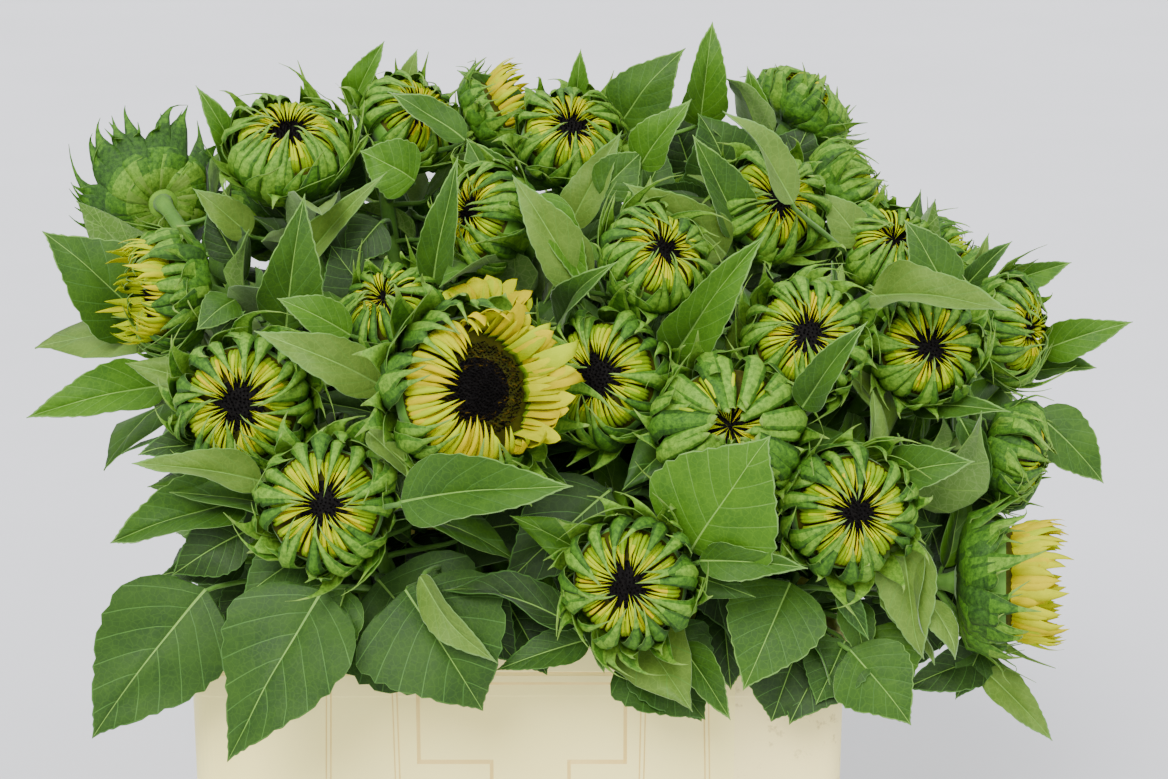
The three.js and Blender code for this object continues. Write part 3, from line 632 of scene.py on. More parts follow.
def grown_leaf(entry, attempt):
    """A leaf by rule. The attempts turn and raise it to either side by more and more."""
    root, reach, turn, rise, length, width, roll = entry
    sway = math.ceil(attempt / 2) * (1 if attempt % 2 else -1)
    turn += sway * try_turn
    base = root + direction(turn, stalk["rise"]) * reach
    facing = unit(base - crown_centre) + skyward
    return Leaf(root, base, direction(turn, rise + sway * try_rise), length, width, facing, roll)


def hides_head(leaf):
    """A leaf by rule leaves the view of every head's face open, and from the front that of the head."""
    spine = leaf.place(np.array([0.25, 0.5, 0.75, 1]), 0)
    for plant in plants:
        offset = spine - plant.centre
        for way, low, high in (
            (plant.axis, face_view[0] * plant.radius, face_view[1]),
            (to_front, 0, 0 if plant.hidden else math.inf),
        ):
            ahead = offset @ way
            aside = (offset**2).sum(1) - ahead**2
            if np.any((ahead > low) & (ahead < high) & (aside < plant.radius**2)):
                return True
    return False


# Space is kept in cubes of this size. A blade takes those of a coarse grid of places, and crosses
# another where it meets too many of a fine one. Finer leaves stay this near to the solids' corners.
cell = 5.0
solid_reach = 26.0
coarse_grid = (9, 5)
fine_grid = (25, 13)
most_crossed = 4
# What a finer leaf stays out of: shares of a head's radius behind, before and round its middle, and
# millimetres beside and above the crate.
head_room = (-0.62, 0.75, 1.05)
crate_room = (6, 3)


class Room:
    """Keeps finer leaves out of heads and of other leaves, and within the reach of the solids."""

    def __init__(self):
        self.taken, self.blades = set(), set()
        self.solids = corner_tree(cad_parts.values())

    def samples(self, leaf, grid=coarse_grid):
        rows, columns = grid
        along = np.repeat(np.linspace(0.08, 1, rows), columns)
        share = np.tile(np.linspace(-0.95, 0.95, columns), rows)
        return leaf.place(along, share * leaf.half(along))

    def cells(self, points):
        return set(map(tuple, np.floor(points / cell).astype(int)))

    def take(self, leaf):
        self.taken |= self.cells(self.samples(leaf))
        self.blades |= self.cells(self.samples(leaf, fine_grid))

    def is_free(self, leaf):
        points = self.samples(leaf)
        if self.taken & self.cells(points):
            return False
        for plant in plants:
            offset = points - plant.centre
            ahead = offset @ plant.axis / plant.radius
            aside = np.sqrt(np.maximum((offset**2).sum(1) / plant.radius**2 - ahead**2, 0))
            if np.any((ahead > head_room[0]) & (ahead < head_room[1]) & (aside < head_room[2])):
                return False
        inside = np.abs(points[:, 0]) < crate["width"] / 2 + crate_room[0]
        inside &= np.abs(points[:, 1]) < crate["depth"] / 2 + crate_room[0]
        if np.any(inside & (points[:, 2] < crate["height"] + crate_room[1])):
            return False
        return all(self.solids.find(Vector(p * MM))[2] < solid_reach * MM for p in points[::4])


# Kinds of a blade's rows, where its side veins start, and the rows beyond the last vein.
vein_side = 1
vein_crest = 2
vein_span = (0.12, 0.82)
tip_rows = (0.92, 0.97, 1.0)


class Veins:
    """The rows and columns of a blade with its side veins, which leave the rib and sweep forwards."""

    def __init__(self, pairs, between, columns, half_width, crest, foot_rows, sweep, margin):
        veins = np.linspace(*vein_span, pairs)
        rows, kinds = [0.0, *foot_rows], [0] * (1 + len(foot_rows))
        self.sweep, self.margin = sweep, margin
        for i, vein in enumerate(veins):
            rows += [vein - half_width, *([vein] * crest), vein + half_width]
            kinds += [vein_side, *([vein_crest] * crest), vein_side]
            after = veins[i + 1] if i + 1 < pairs else tip_rows[0]
            rows += list(vein + (after - vein) * (np.arange(between) + 1) / (between + 1))
            kinds += [0] * between
        self.rows = np.array([*rows, *tip_rows])
        self.kinds = np.array(kinds + [0] * len(tip_rows))
        self.columns = np.array(columns)
        edges = np.concatenate([[0.0], veins, [1.0]])
        k = np.clip(np.searchsorted(edges, self.rows, side="right") - 1, 0, pairs)
        self.between = (self.rows - edges[k]) / (edges[k + 1] - edges[k])


fine_veins = Veins(
    pairs=6, between=2, columns=[0, 0.25, 0.5, 0.75], half_width=0.003, crest=True,
    foot_rows=(0.008, 0.025, 0.06), sweep=(1.5, 0.64), margin=True)
plain_veins = Veins(
    pairs=4, between=1, columns=[0, 0.5], half_width=0.005, crest=False, foot_rows=(0.02, 0.06),
    sweep=(1.8, 0.8), margin=False)
# A blade's measures: millimetres first, then shares of its half width, length or width.
blade = {
    "thickness": 0.6, "margin": 0.35, "narrowest": 0.25, "fuller": 1.1, "foot": 0.8, "tooth": 0.026,
    "tooth_ahead": 0.004, "toothed_from": 0.06, "uneven": 0.07, "puff": 0.006, "sway": 0.05, "roll": 0.03,
    "curl_from": 0.35,
}
most_twist = 22


def blade_looks(veins, shape, top_look, under_look):
    """Looks of the faces above, below and round the rim: veins, rib and margin have their own."""
    looks, unders = np.full(shape, top_look), np.full(shape, under_look)
    vein_rows = (veins.kinds[:-1] > 0) & (veins.kinds[1:] > 0)
    looks[vein_rows] = deep_vein_look if top_look in deep_veined else vein_look
    unders[vein_rows] = rib_look
    middle = shape[1] // 2
    looks[:, middle - 1:middle + 1] = rib_look
    unders[:, middle - 1:middle + 1] = rib_look
    rim = deep_vein_look if top_look in dark_rimmed else margin_look
    if veins.margin:
        looks[:, [0, -1]] = rim
        unders[:, [0, -1]] = margin_look
    return looks, unders, rim


def add_leaf(heap, leaf, veins, seed, top_look, under_look, fold, wave, curl):
    """A blade with rib, side veins and toothed edge, and an underside where the veins stand proud."""
    draw = np.random.default_rng(seed)
    k = veins.rows[:, None]
    starts, ends = k ** veins.sweep[0], k ** veins.sweep[1]
    outer = (veins.kinds > 0) | (np.arange(len(veins.rows)) % 2 > 0)
    teeth = np.where(outer, 1.0, -1.0)[:, None] * (k > blade["toothed_from"])
    uneven = 1 + draw.uniform(-blade["uneven"], blade["uneven"]) * np.sin(5 * ends + draw.uniform(0, 6, 2))
    edge = blade["fuller"] * leaf.half(ends) * (1 + blade["tooth"] * teeth) * uneven
    edge = np.maximum(edge, blade["narrowest"])
    edge[0] = stalk["radius"] * blade["foot"]
    sides = len(veins.columns) + 1 + veins.margin
    edge = np.concatenate([edge[:, :1]] * sides + [edge[:, 1:]] * (sides + 1), 1)
    rib = np.minimum(0.2 + 0.006 * leaf.length * (1 - k) ** 1.3, 0.6 * edge)
    inner = np.maximum(edge - blade["margin"] * veins.margin, 0.6 * edge)
    fractions = np.concatenate([veins.columns, [1.0]])
    half = rib[:, :1] + (inner - rib)[:, :1] * fractions
    half_plus = rib[:, -1:] + (inner - rib)[:, -1:] * fractions
    across = np.concatenate([-half[:, ::-1], np.zeros_like(k), half_plus], 1)
    if veins.margin:
        across = np.concatenate([-edge[:, :1], across, edge[:, -1:]], 1)
    u = across / edge
    along = starts + (ends - starts) * np.abs(u) ** 1.25
    along = np.clip(along + blade["tooth_ahead"] * teeth * (np.abs(u) > 0.99), 0, 1)
    side = np.where(across < 0, 0, 1)
    phase = draw.uniform(0, 2 * math.pi, 2)[side]
    swell = draw.uniform(0.5, 1.5, 2)[side]
    shape = np.sin(math.pi * np.clip(along, 0, 1))
    folds = np.radians(fold)[side] * (0.3 + 0.7 * shape)
    lift = np.abs(across) * np.sin(folds)
    across = across * np.cos(folds)
    lift += wave * leaf.length * swell * np.sin(along * draw.uniform(6, 11) + phase) * u**2 * shape
    puff = np.sin(math.pi * veins.between)[:, None] ** 2
    lift += blade["puff"] * leaf.width * puff * np.clip(4 * np.abs(u) * (1 - np.abs(u)), 0, 1) * shape
    sway = draw.uniform(-blade["sway"], blade["sway"]) * leaf.length
    lift += sway * np.sin(along * 4 + draw.uniform(0, 6)) * shape
    roll = draw.uniform(-blade["roll"], blade["roll"]) * leaf.width
    lift += roll * np.sin(along * 9 + 4 * u + draw.uniform(0, 6)) * shape
    lift += curl * leaf.length * np.clip(along - blade["curl_from"], 0, 1) ** 2
    twist = math.radians(draw.uniform(-most_twist, most_twist)) * along
    on_vein = (veins.kinds == vein_crest)[:, None] * (np.abs(u) < 0.97)
    on_rib = across == 0
    groove = np.where(on_rib, 0.5 * (1 - 0.6 * k), 0.0) + 0.03 * on_vein
    ridge = np.where(on_rib, 1.5 * (1 - 0.8 * k), 0.0) + 0.25 * on_vein * (1 - 0.6 * np.abs(u))
    turned_lift = lift * np.cos(twist) + across * np.sin(twist)
    turned_across = across * np.cos(twist) - lift * np.sin(twist)
    top = leaf.place(along, turned_across, turned_lift - groove)
    under = leaf.place(along, turned_across, turned_lift - blade["thickness"] - ridge)
    rows, columns = top.shape[:2]
    add_sheet(heap, top, under, *blade_looks(veins, (rows - 1, columns - 1), top_look, under_look))


stalk_steps = 7
stalk_sides = 5


def add_stalk(heap, plant, leaf):
    """The stalk curves from the stem's surface into the blade's rib."""
    root = leaf.root
    way = unit(bezier(plant.curve, 1.0)[0] - root)
    reach = np.linalg.norm(leaf.base - root)
    out = unit(leaf.base - root)
    points = (root, root + (out * 0.7 + way * 0.3) * reach * 0.4,
              leaf.base - leaf.ahead * min(reach * 0.2, 5) - leaf.normal * min(reach * 0.3, 10),
              leaf.base + leaf.ahead * 1.5)
    t = np.linspace(0, 1, stalk_steps)
    radii = stalk["radius"] * (1.2 - 0.4 * t)
    centres = bezier(points, t) - leaf.normal * blade["thickness"] * t[:, None]
    add_tube(heap, centres, radii, stalk_sides, 0)


groups = 4
# How often a leaf by rule has each look, low on the clump and high on it, and the two levels: painted
# light, with deep and dark tops more often low in the clump and bright and pale ones high on it.
low_chances = np.array([0.3, 0.28, 0.14, 0.22, 0.06])
high_chances = np.array([0.28, 0.1, 0.3, 0.06, 0.26])
leaf_light_levels = (300, 530)
# A slim leaf is folded more. How far a tip curls, and the waves of an edge, as shares of the length.
slim_under = 0.52
slim_fold = (6, 58)
broad_fold = (-8, 24)
fine_curl = (-0.16, 0.05)
plain_curl = (-0.34, 0.06)
fine_wave = 0.03
plain_wave = 0.036
leaf_heaps = [Heap(f"leaves_{letter}", leaf_looks, "leaf_green") for letter in "abcd"]
stems = Heap("stems", stem_looks, "leaf_green")
stalks = Heap("leaf_stalks", stem_looks, "leaf_green")
room = Room()
# The leaves of each kind draw from seeds of their own, so that one more changes no other.
counts = {"placed": 0, "posed": 0, "grown": 0, "finer": 0}
first_seeds = {"placed": 1, "posed": 45, "grown": 109, "finer": 316}


def keep_leaf(kind, plant, leaf, veins, look=None):
    """Makes a leaf with its stalk, and takes its space."""
    seed = first_seeds[kind] + counts[kind]
    counts[kind] += 1
    draw = np.random.default_rng(seed)
    # A higher leaf is more often dealt a bright top, a lower one a dark top: painted light and shade.
    high = share_of(leaf.base[2], *leaf_light_levels)
    top_look = int(draw.choice(len(leaf_tints), p=low_chances * (1 - high) + high_chances * high))
    if look is not None:
        top_look = look
    under_look = len(leaf_tints) + int(draw.integers(len(under_tints)))
    fold = draw.uniform(*(slim_fold if leaf.width < slim_under * leaf.length else broad_fold), 2)
    curl = draw.uniform(*(plain_curl if veins is plain_veins else fine_curl))
    wave = plain_wave if veins is plain_veins else fine_wave
    add_leaf(leaf_heaps[plant.index % groups], leaf, veins, seed, top_look, under_look, fold, wave, curl)
    add_stalk(stalks, plant, leaf)
    room.take(leaf)


for flower, base, tip, breadth, roll, look in more_leaves:
    plant = plants[flower - 1]
    leaf = leaf_between(plant, np.array(base, float), np.array(tip, float), breadth, roll)
    keep_leaf("placed", plant, leaf, fine_veins, look)
for plant in plants:
    for row, look in zip(plant.rows, row_looks.get(plant.number, [])):
        posed = [posed_leaf(plant, row, attempt) for attempt in range(tries)]
        kept = [leaf for leaf in posed if leaf.is_in(plant.corners)] or posed
        keep_leaf("posed", plant, kept[0], fine_veins, look)
for plant in plants:
    for entry in grown_leaves(plant, grown):
        found = [leaf for leaf in (grown_leaf(entry, n) for n in range(tries)) if leaf.is_in(plant.corners)]
        # One that would cross a leaf that has a place is left out.
        if found and len(room.blades & room.cells(room.samples(found[0]))) <= most_crossed:
            keep_leaf("grown", plant, found[0], plain_veins)
for plant in plants:
    for entry in grown_leaves(plant, finer):
        for attempt in range(tries):
            leaf = grown_leaf(entry, attempt)
            if not hides_head(leaf) and room.is_free(leaf):
                keep_leaf("finer", plant, leaf, plain_veins)
                break
print("leaves", counts)

# A stem widens into its head over the last stretch, to a share of the head's radius.
widening = {"from": 0.93, "over": 0.07, "share": 0.2}
stem_steps = 30
stem_sides = 12
for plant in plants:
    t = np.linspace(0, 1, stem_steps)
    wider = np.clip((t - widening["from"]) / widening["over"], 0, 1) ** 2
    radii = stem["foot_radius"] + (stem["neck_radius"] - stem["foot_radius"]) * t
    radii = radii + wider * (widening["share"] * plant.radius - stem["neck_radius"])
    add_tube(stems, bezier(plant.curve, t), radii, stem_sides, 0)


# Heads

bract_heaps = [Heap(f"bracts_{n}", bract_looks, "bract_green") for n in (1, 2)]
petals = Heap("petals", petal_looks, "petal_yellow")
florets = Heap("florets", floret_looks, "floret_dark")
receptacles = Heap("receptacles", receptacle_looks, "bract_green")

# Shares of a blade's greatest half width, evenly spaced from its foot to its tip: bracts of most
# heads, of shut heads and outer ones that flare, and petals.
bract_widths = np.array([0.75, 0.94, 1.0, 1.0, 0.94, 0.78, 0.5, 0.24, 0.12, 0.08, 0.02])
shut_widths = np.array([0.75, 0.94, 1.0, 1.0, 1.0, 0.95, 0.82, 0.62, 0.38, 0.18, 0.02])
flared_widths = np.array([0.8, 0.98, 1.0, 0.98, 0.84, 0.62, 0.4, 0.24, 0.14, 0.08, 0.02])
petal_widths = [0.9, 1.0, 1.02, 1.0, 0.88, 0.64, 0.34, 0.02]
bract_columns = [-1, -0.6, 0, 0.6, 1]
petal_columns = [-1, 0, 1]
narrowest_turn = 0.3
# Half widths and thicknesses of blades: shares of the head's radius, and millimetres.
bract_halves = (0.12, 0.21)
folded_half = 0.038
bract_thick = 0.8
petal_thick = 0.4
# How many petals lie together, and how many of them have a darker rim: painted shade for the shadowed line
# between folded petals.
clump_size = 5
shade_lined_petals = 0.22

# Heads that differ: one that shows its back, one with few petals, and those whose bracts stay low.
back_view = 24
few_petals = 23
short_bracts = (6, 18)

# Below the first share a head is shut. From the others on its petals spread, and its bracts stand.
shut_below = 0.2
petals_spread = 0.6
bracts_stand = 0.65
# How far the bracts reach in and where the petals end, by how far a head is open.
opening = [0, 0.1, 0.3, 0.5, 0.8, 1]
bract_cover = [0.28, 0.38, 0.53, 0.65, 0.86, 0.95]
eye_reach = [0.04, 0.09, 0.18, 0.23, 0.31, 0.5]

# Rows of bracts: how many, how far outside the first row, how far the tail reaches, and the flare.
bract_rows = [(12, 0.0, 0.3, 0.0), (12, 0.05, 0.34, 0.08), (12, 0.1, 0.28, 0.75), (13, 0.12, 0.2, 1.15)]
# Heights over which a bract's body is dealt lime more often and deep less often: painted light from above.
bract_light_levels = (330, 530)
# The first faces of the bracts on the head that shows its back, in three ways.
back_stripes = np.array([
    (bract_lime, bract_green, bract_deep, bract_deep, bract_deep),
    (bract_lime, bract_green, bract_green, bract_deep, bract_deep),
    (bract_tail, bract_lime, bract_green, bract_deep, bract_deep),
])

# Heads whose petals don't all lie folded: the side that stands open, by its angle in the head, how
# far (1 is upright, 2 turned outwards), how much of the way round, and the petals' half width.
opened = {
    3: (15, 1.9, -0.35, 0.12),
    6: (0, 1.0, 2.0, 0.1),
    11: (180, 0.75, 1.2, 0.07),
    18: (0, 1.0, 2.0, 0.09),
    23: (122, 1.7, 0.45, 0.22),
}
# Seeds of the heads' draws, one more for each head.
bract_seed = 500
petal_seed = 700
floret_seed = 900


def by_opening(plant, values):
    """The value for how far this head is open."""
    return float(np.interp(plant.open, opening, values))


def add_blade(heap, plant, path, angle, half, widths, columns, swirl, cup, thick, looks, under_looks,
              rim_look, ripple=0.0, late=2):
    """A blade of a head: its path is in shares of the head's radius from and along the axis."""
    t = np.linspace(0, 1, len(widths))[:, None]
    line = through(path, t[:, 0])
    way = unit(np.gradient(line, axis=0))
    out, along = line[:, :1], line[:, 1:]
    n_out, n_along = way[:, 1:], -way[:, :1]
    u = np.array(columns)[None, :]
    half_widths = half * np.array(widths)[:, None]
    spread = half_widths * u / np.maximum(out, narrowest_turn)
    turned = math.radians(angle) + np.radians(swirl) * t**late - spread
    lift = cup * half_widths * (1 - np.abs(u) ** 1.4)
    lift = lift + ripple * half_widths * np.sin(5 * t + 3 * u) * np.abs(u)
    top = plant.in_head(out + n_out * lift, along + n_along * lift, turned)
    low = lift - thick / plant.radius * (1 - 0.7 * t)
    under = plant.in_head(out + n_out * low, along + n_along * low, turned)
    add_sheet(heap, top, under, looks, under_looks, rim_look)


def stance(plant, angle):
    """How the petals at this angle stand: 0 folded over the eye, 1 upright, 2 turned outwards."""
    middle, most, wide, _ = opened.get(plant.number, (0, 0.0, 0, 0))
    return most * float(np.clip(0.5 + wide + 0.9 * math.cos(math.radians(angle - middle)), 0, 1))


def bract_faces(body):
    """Looks of a bract's faces: sides painted darker as shade, a painted highlight along the middle towards
    the tail.
    """
    looks = np.full((len(bract_widths) - 1, len(bract_columns) - 1), body)
    # A lime bract's sides are painted green as the shade between bracts.
    looks[:, [0, -1]] = bract_green if body == bract_lime else body
    # A painted highlight along the middle of the bract's body.
    looks[4:7, 1:3] = bract_green if body == bract_deep else bract_lime
    looks[7:8] = bract_lime
    looks[8:] = bract_tail
    return looks


def add_bracts(plant, heap):
    """Rows of bracts: those inside hug the head and end in a tail over the petals, the outer ones flare."""
    draw = np.random.default_rng(bract_seed + plant.index)
    cover = by_opening(plant, bract_cover)
    upright = max(0.0, (plant.open - bracts_stand) / (1 - bracts_stand))
    outer_half = np.linspace(0.5, 1, 8)
    high = share_of(plant.centre[2], *bract_light_levels)
    shut = max(0.0, 1 - plant.open / shut_below)
    closed_widths = bract_widths * (1 - shut) + shut_widths * shut
    from_behind = plant.number == back_view
    swirl = draw.uniform(10, 26) * draw.choice([-1, 1]) * (1 - upright)
    bracts = [(ring, k) for ring, row in enumerate(bract_rows) for k in range(row[0])]
    for ring, k in bracts:
        count, inset, tail, flare = bract_rows[ring]
        outset = inset + draw.uniform(-0.04, 0.05)
        angle = 360 * (k + 0.5 * (ring % 2)) / count + draw.uniform(-13, 13) + 40 * plant.index
        loose = min(flare * draw.uniform(0.6, 1.3), 1.0)
        if ring == 1 and draw.random() < 0.25:
            loose = draw.uniform(0.3, 0.7)
        if from_behind:
            loose = 1.0
        if plant.number == few_petals:
            loose *= 0.3
        inner = cover + draw.uniform(-0.14, 0.14) + outset * 1.2
        end = max(inner - tail - draw.uniform(0, 0.16), draw.uniform(0.1, 0.3))
        rise = draw.uniform(0.03, 0.14)
        closed = np.array([
            (0.42, -0.55), (0.86 + outset, -0.36), (1.01 + outset, -0.02), (0.95 + outset, 0.33),
            (inner + 0.05, 0.54 + outset * 0.5), ((inner + end) / 2, 0.57 + rise), (end, 0.5 + rise * 1.2),
        ])
        if draw.random() < 0.3:
            closed[-2:] += [(0.04, 0.05), (0.12, 0.16)]
        standing = np.array([
            (0.42, -0.55), (0.86 + outset, -0.36), (1.03 + outset, -0.08), (1.05 + outset, 0.14),
            (1.02 + outset, 0.3), (0.99 + outset, 0.46), (0.95 + outset, 0.62 + rise),
        ])
        # They stay below petals that stand open.
        apart = 0.9 * upright
        if stance(plant, angle) > 1 or plant.number in short_bracts:
            standing[3:, 1] -= (0.1, 0.18, 0.26, 0.34)
            apart = 1.0
        closed = closed * (1 - apart) + standing * apart
        tilt = draw.uniform(-0.62, 0.42)
        hook = draw.uniform(-0.2, 0.34)
        longer = draw.uniform(0.9, 1.1)
        flared = np.array([
            (0.36, -0.6), (0.8 + outset, -0.5), (1.06, -0.27), (1.22 * longer, -0.02 + tilt * 0.15),
            (1.33 * longer, 0.16 + tilt * 0.45), (1.43 * longer, 0.28 + tilt * 0.85),
            (1.54 * longer, 0.28 + tilt + hook),
        ])
        # Bracts high on the clump are more often lime and low ones deep: painted light and shade.
        chances = [0.5, 0.08 + 0.34 * high, 0.42 - 0.34 * high]
        body = int(draw.choice([bract_green, bract_lime, bract_deep], p=chances))
        if from_behind:
            flared[:3] = [(0.28, -0.62), (0.74 + outset, -0.5), (1.04, -0.31)]
            body = bract_deep
        # A bract that would meet a leaf flares half as far, or not at all.
        for share in (1, 0.5, 0):
            path = closed * (1 - loose * share) + flared * loose * share
            out, along = through(path, outer_half).T
            if not room.blades & room.cells(plant.in_head(out, along, math.radians(angle))):
                break
        loose *= share
        faces = bract_faces(body)
        if from_behind:
            faces[:5] = back_stripes[draw.integers(len(back_stripes)), :, None]
            faces[7:] = bract_green
        half = draw.uniform(*bract_halves) + 0.08 * loose
        widths = closed_widths * (1 - loose) + flared_widths * loose
        turn = swirl + draw.uniform(-24, 24) * (1 - 0.6 * upright)
        cup = draw.uniform(0.4, 0.65) * (1 - 1.1 * loose)
        unders = np.where(faces == body, bract_lime, faces)
        add_blade(heap, plant, path, angle, half, widths, bract_columns, turn, cup, bract_thick,
                  faces, unders, bract_edge, 0.2 * loose)


def add_petals(plant):
    """Petals in clumps: most lie folded inwards, pointed, around the dark eye."""
    draw = np.random.default_rng(petal_seed + plant.index)
    eye = by_opening(plant, eye_reach)
    open_half = opened[plant.number][3] if plant.number in opened else folded_half
    wide_open = max(0, plant.open - petals_spread) / (1 - petals_spread)
    tint_chances = [0.25, 0.4, 0.35] if wide_open > 0.3 else [0.66, 0.28, 0.06]
    clumps = 12 + int(5 * plant.open)
    for clump in range(clumps):
        middle = 360 * clump / clumps + draw.uniform(-3, 3)
        gather = draw.uniform(0.03, 0.36) * (1 - 0.7 * wide_open)
        clump_end = eye * draw.uniform(0.8, 1.3)
        for j in range(clump_size):
            from_middle = j - (clump_size - 1) / 2
            fan = from_middle * 360 / clumps / clump_size
            angle = middle + fan + draw.uniform(-2, 2)
            end = clump_end + 0.035 * abs(from_middle) + draw.uniform(-0.06, 0.13)
            end = max(end + 0.1 * (j % 2) * wide_open, 0.03)
            crest = 0.42 + 0.04 * (j % 2) + draw.uniform(-0.02, 0.03) + 0.08 * wide_open
            rim_out = 0.84 + 0.08 * wide_open
            folded = np.array([
                (0.8, 0.02), (rim_out, 0.24), (rim_out - 0.12, crest - 0.04),
                ((0.72 + end) / 2, crest + 0.03), (end, crest - 0.02),
            ])
            lean, longer = draw.uniform(-0.14, 0.12), draw.uniform(0.8, 1.12)
            upright = np.array([
                (0.7, 0.1), (0.84, 0.3), (0.93, 0.2 + 0.36 * longer),
                (0.94 + lean * 0.5, 0.2 + 0.62 * longer), (0.88 + lean, 0.2 + 0.84 * longer),
            ])
            outward = np.array([
                (0.6, 0.26), (0.68, 0.48), (0.82, 0.64), (0.84 + 0.18 * longer, 0.68 + lean * 0.4),
                (0.84 + 0.34 * longer, 0.5 + lean),
            ])
            way = stance(plant, angle)
            way += draw.uniform(-0.25, 0.25) * (way > 0.3)
            crowded = j % 2 and draw.random() < 0.6
            if j == 0 and (plant.open < shut_below or plant.hidden):
                continue
            if way > 0.7 and crowded or plant.number == few_petals and j % 4:
                continue
            path = folded * max(1 - way, 0) + outward * max(way - 1, 0)
            path = path + upright * (1 - abs(min(way, 2) - 1))
            tint = int(draw.choice(petal_tints, p=tint_chances))
            looks = np.full((len(petal_widths) - 1, len(petal_columns) - 1), tint)
            looks[:1 if way > 0.5 or wide_open else int(draw.integers(3, 6))] = petal_foot
            # Some rims are painted olive as shade between petals.
            rim = petal_shade_line if draw.random() < shade_lined_petals else tint
            usual = open_half if way > 0.7 else folded_half * (1 + 0.4 * wide_open)
            half = draw.uniform(0.85, 1.2) * usual
            turn = -fan * gather + draw.uniform(-6, 6)
            cup = 0.75 if way < 0.5 else 0.3
            add_blade(petals, plant, path, angle, half, petal_widths, petal_columns, turn, cup, petal_thick,
                      looks, looks, rim, 0.3 * (way > 0.5), 4)


# Millimetres between florets, closer on the largest heads, and how far out they reach at most.
floret_spacing = 0.9
floret_spacing_large = 0.7
large_radius = 40
widest_disc = 0.62


def add_florets(plant):
    """Pointed florets in the spirals of the golden angle, on a dark disc."""
    spacing = (floret_spacing_large if plant.radius > large_radius else floret_spacing) / plant.radius
    reach = min(widest_disc, 0.12 + 1.5 * by_opening(plant, eye_reach))
    count = int((reach / spacing) ** 2 / 2.2)
    draw = np.random.default_rng(floret_seed + plant.index)
    size = 0.85 * spacing
    corners = around(4)
    sides = np.array([[0, 1, 4], [1, 2, 4], [2, 3, 4], [3, 0, 4]])
    for n in range(count):
        out = reach * math.sqrt((n + 0.5) / count)
        angle = n * math.radians(grown["golden_angle"])
        high = 0.3 + 0.08 * (1 - out / reach) + draw.uniform(-0.01, 0.02)
        ring_angles = angle + size / max(out, 0.05) * np.sin(corners)
        ring = plant.in_head(out + size * np.cos(corners), high - 0.02, ring_angles)
        tip_out, tip_high = out + draw.uniform(-0.04, 0.02), high + draw.uniform(0.04, 0.14)
        tip = plant.in_head(tip_out, tip_high, angle + draw.uniform(-0.1, 0.1))
        bright = draw.random() * (plant.open > 0.7) * (out > 0.5 * reach)
        look = floret_gold if bright > 0.82 else floret_brown if bright > 0.5 else floret_black
        florets.add(np.vstack([ring, tip[None, :]]), sides, look, False)
        florets.more(np.array([[3, 2, 1, 0]]), floret_black, False)


# The round body of a head: shares of its radius from and along the axis, from the stem to the disc.
receptacle_profile = [
    (0.02, -0.66), (0.2, -0.64), (0.32, -0.6), (0.6, -0.52), (0.84, -0.36), (0.94, -0.1),
    (0.9, 0.12), (0.76, 0.24), (0.4, 0.32), (0.02, 0.36),
]
receptacle_sides = 28


def add_receptacle(plant):
    """The head's round body: green behind, dark within the petals."""
    angles = around(receptacle_sides)
    rings = np.array([plant.in_head(out, along, angles) for out, along in receptacle_profile])
    behind = receptacle_lime if plant.number == back_view else receptacle_green
    looks = [behind] * 4 + [receptacle_green] * 2 + [disc_olive] * 2 + [disc_dark]
    add_rings(receptacles, rings, np.repeat(looks, receptacle_sides), (behind, disc_dark))


for plant in plants:
    add_receptacle(plant)
    add_bracts(plant, bract_heaps[plant.index % 2])
    add_petals(plant)
    add_florets(plant)


# The crate

# The panel that is sunk in a long side: its wide part and the narrower one below, as x and z ranges.
panel = [((-61, 66), (183, 236)), ((-17, 32), (72, 187))]
panel_depth = 1.6
panel_slope = 2.2
# Upright ribs: where each is at the top and at the bottom, and its half width.
ribs = [(-113, -119, 0.9), (-74, -70, 0.9), (76, 72, 0.9), (113, 119, 0.9)]
rib_height = 0.8
ridge_level = 226
ridge_proud = 0.3
# Where a side's face steps in by more than this its sloping faces are painted darker, as shade in the
# crease. It is dirty beside one front corner.
least_step = 0.4
dirty_from = (128, -100)
ledge = crate["height"] - crate["rim_height"]
corner_steps = 8
long_columns = 15
short_columns = 13
# Half the straight run of a long side and of a short one.
wide = crate["width"] / 2 - crate["corner"]
deep = crate["depth"] / 2 - crate["corner"]


def side_stops():
    """Where a long side has columns of points: close together beside the panel's edges and the ribs."""
    stops = set(np.linspace(-wide, wide, long_columns).round(2))
    for (left, right), _ in panel:
        for edge, inward in ((left, 1), (right, -1)):
            stops.update([edge, edge + inward * panel_slope])
    for top, _, half in ribs:
        stops.update([top - 2 * half, top - half, top + half, top + 2 * half])
    return np.array(sorted(stops))


def sunk_at(x, z):
    """How far the long side's face is sunk at a place, ribs proud."""
    depth = 0.0
    for (left, right), (low, high) in panel:
        inwards = min(x - left, right - x, z - low, high - z) / panel_slope
        depth = max(depth, panel_depth * min(max(inwards, 0), 1))
    for top, bottom, half in ribs:
        middle = bottom + (top - bottom) * z / ledge
        if abs(x - middle) < 1.6 * half and 8 < z < ledge - 3:
            depth -= rib_height
    return depth


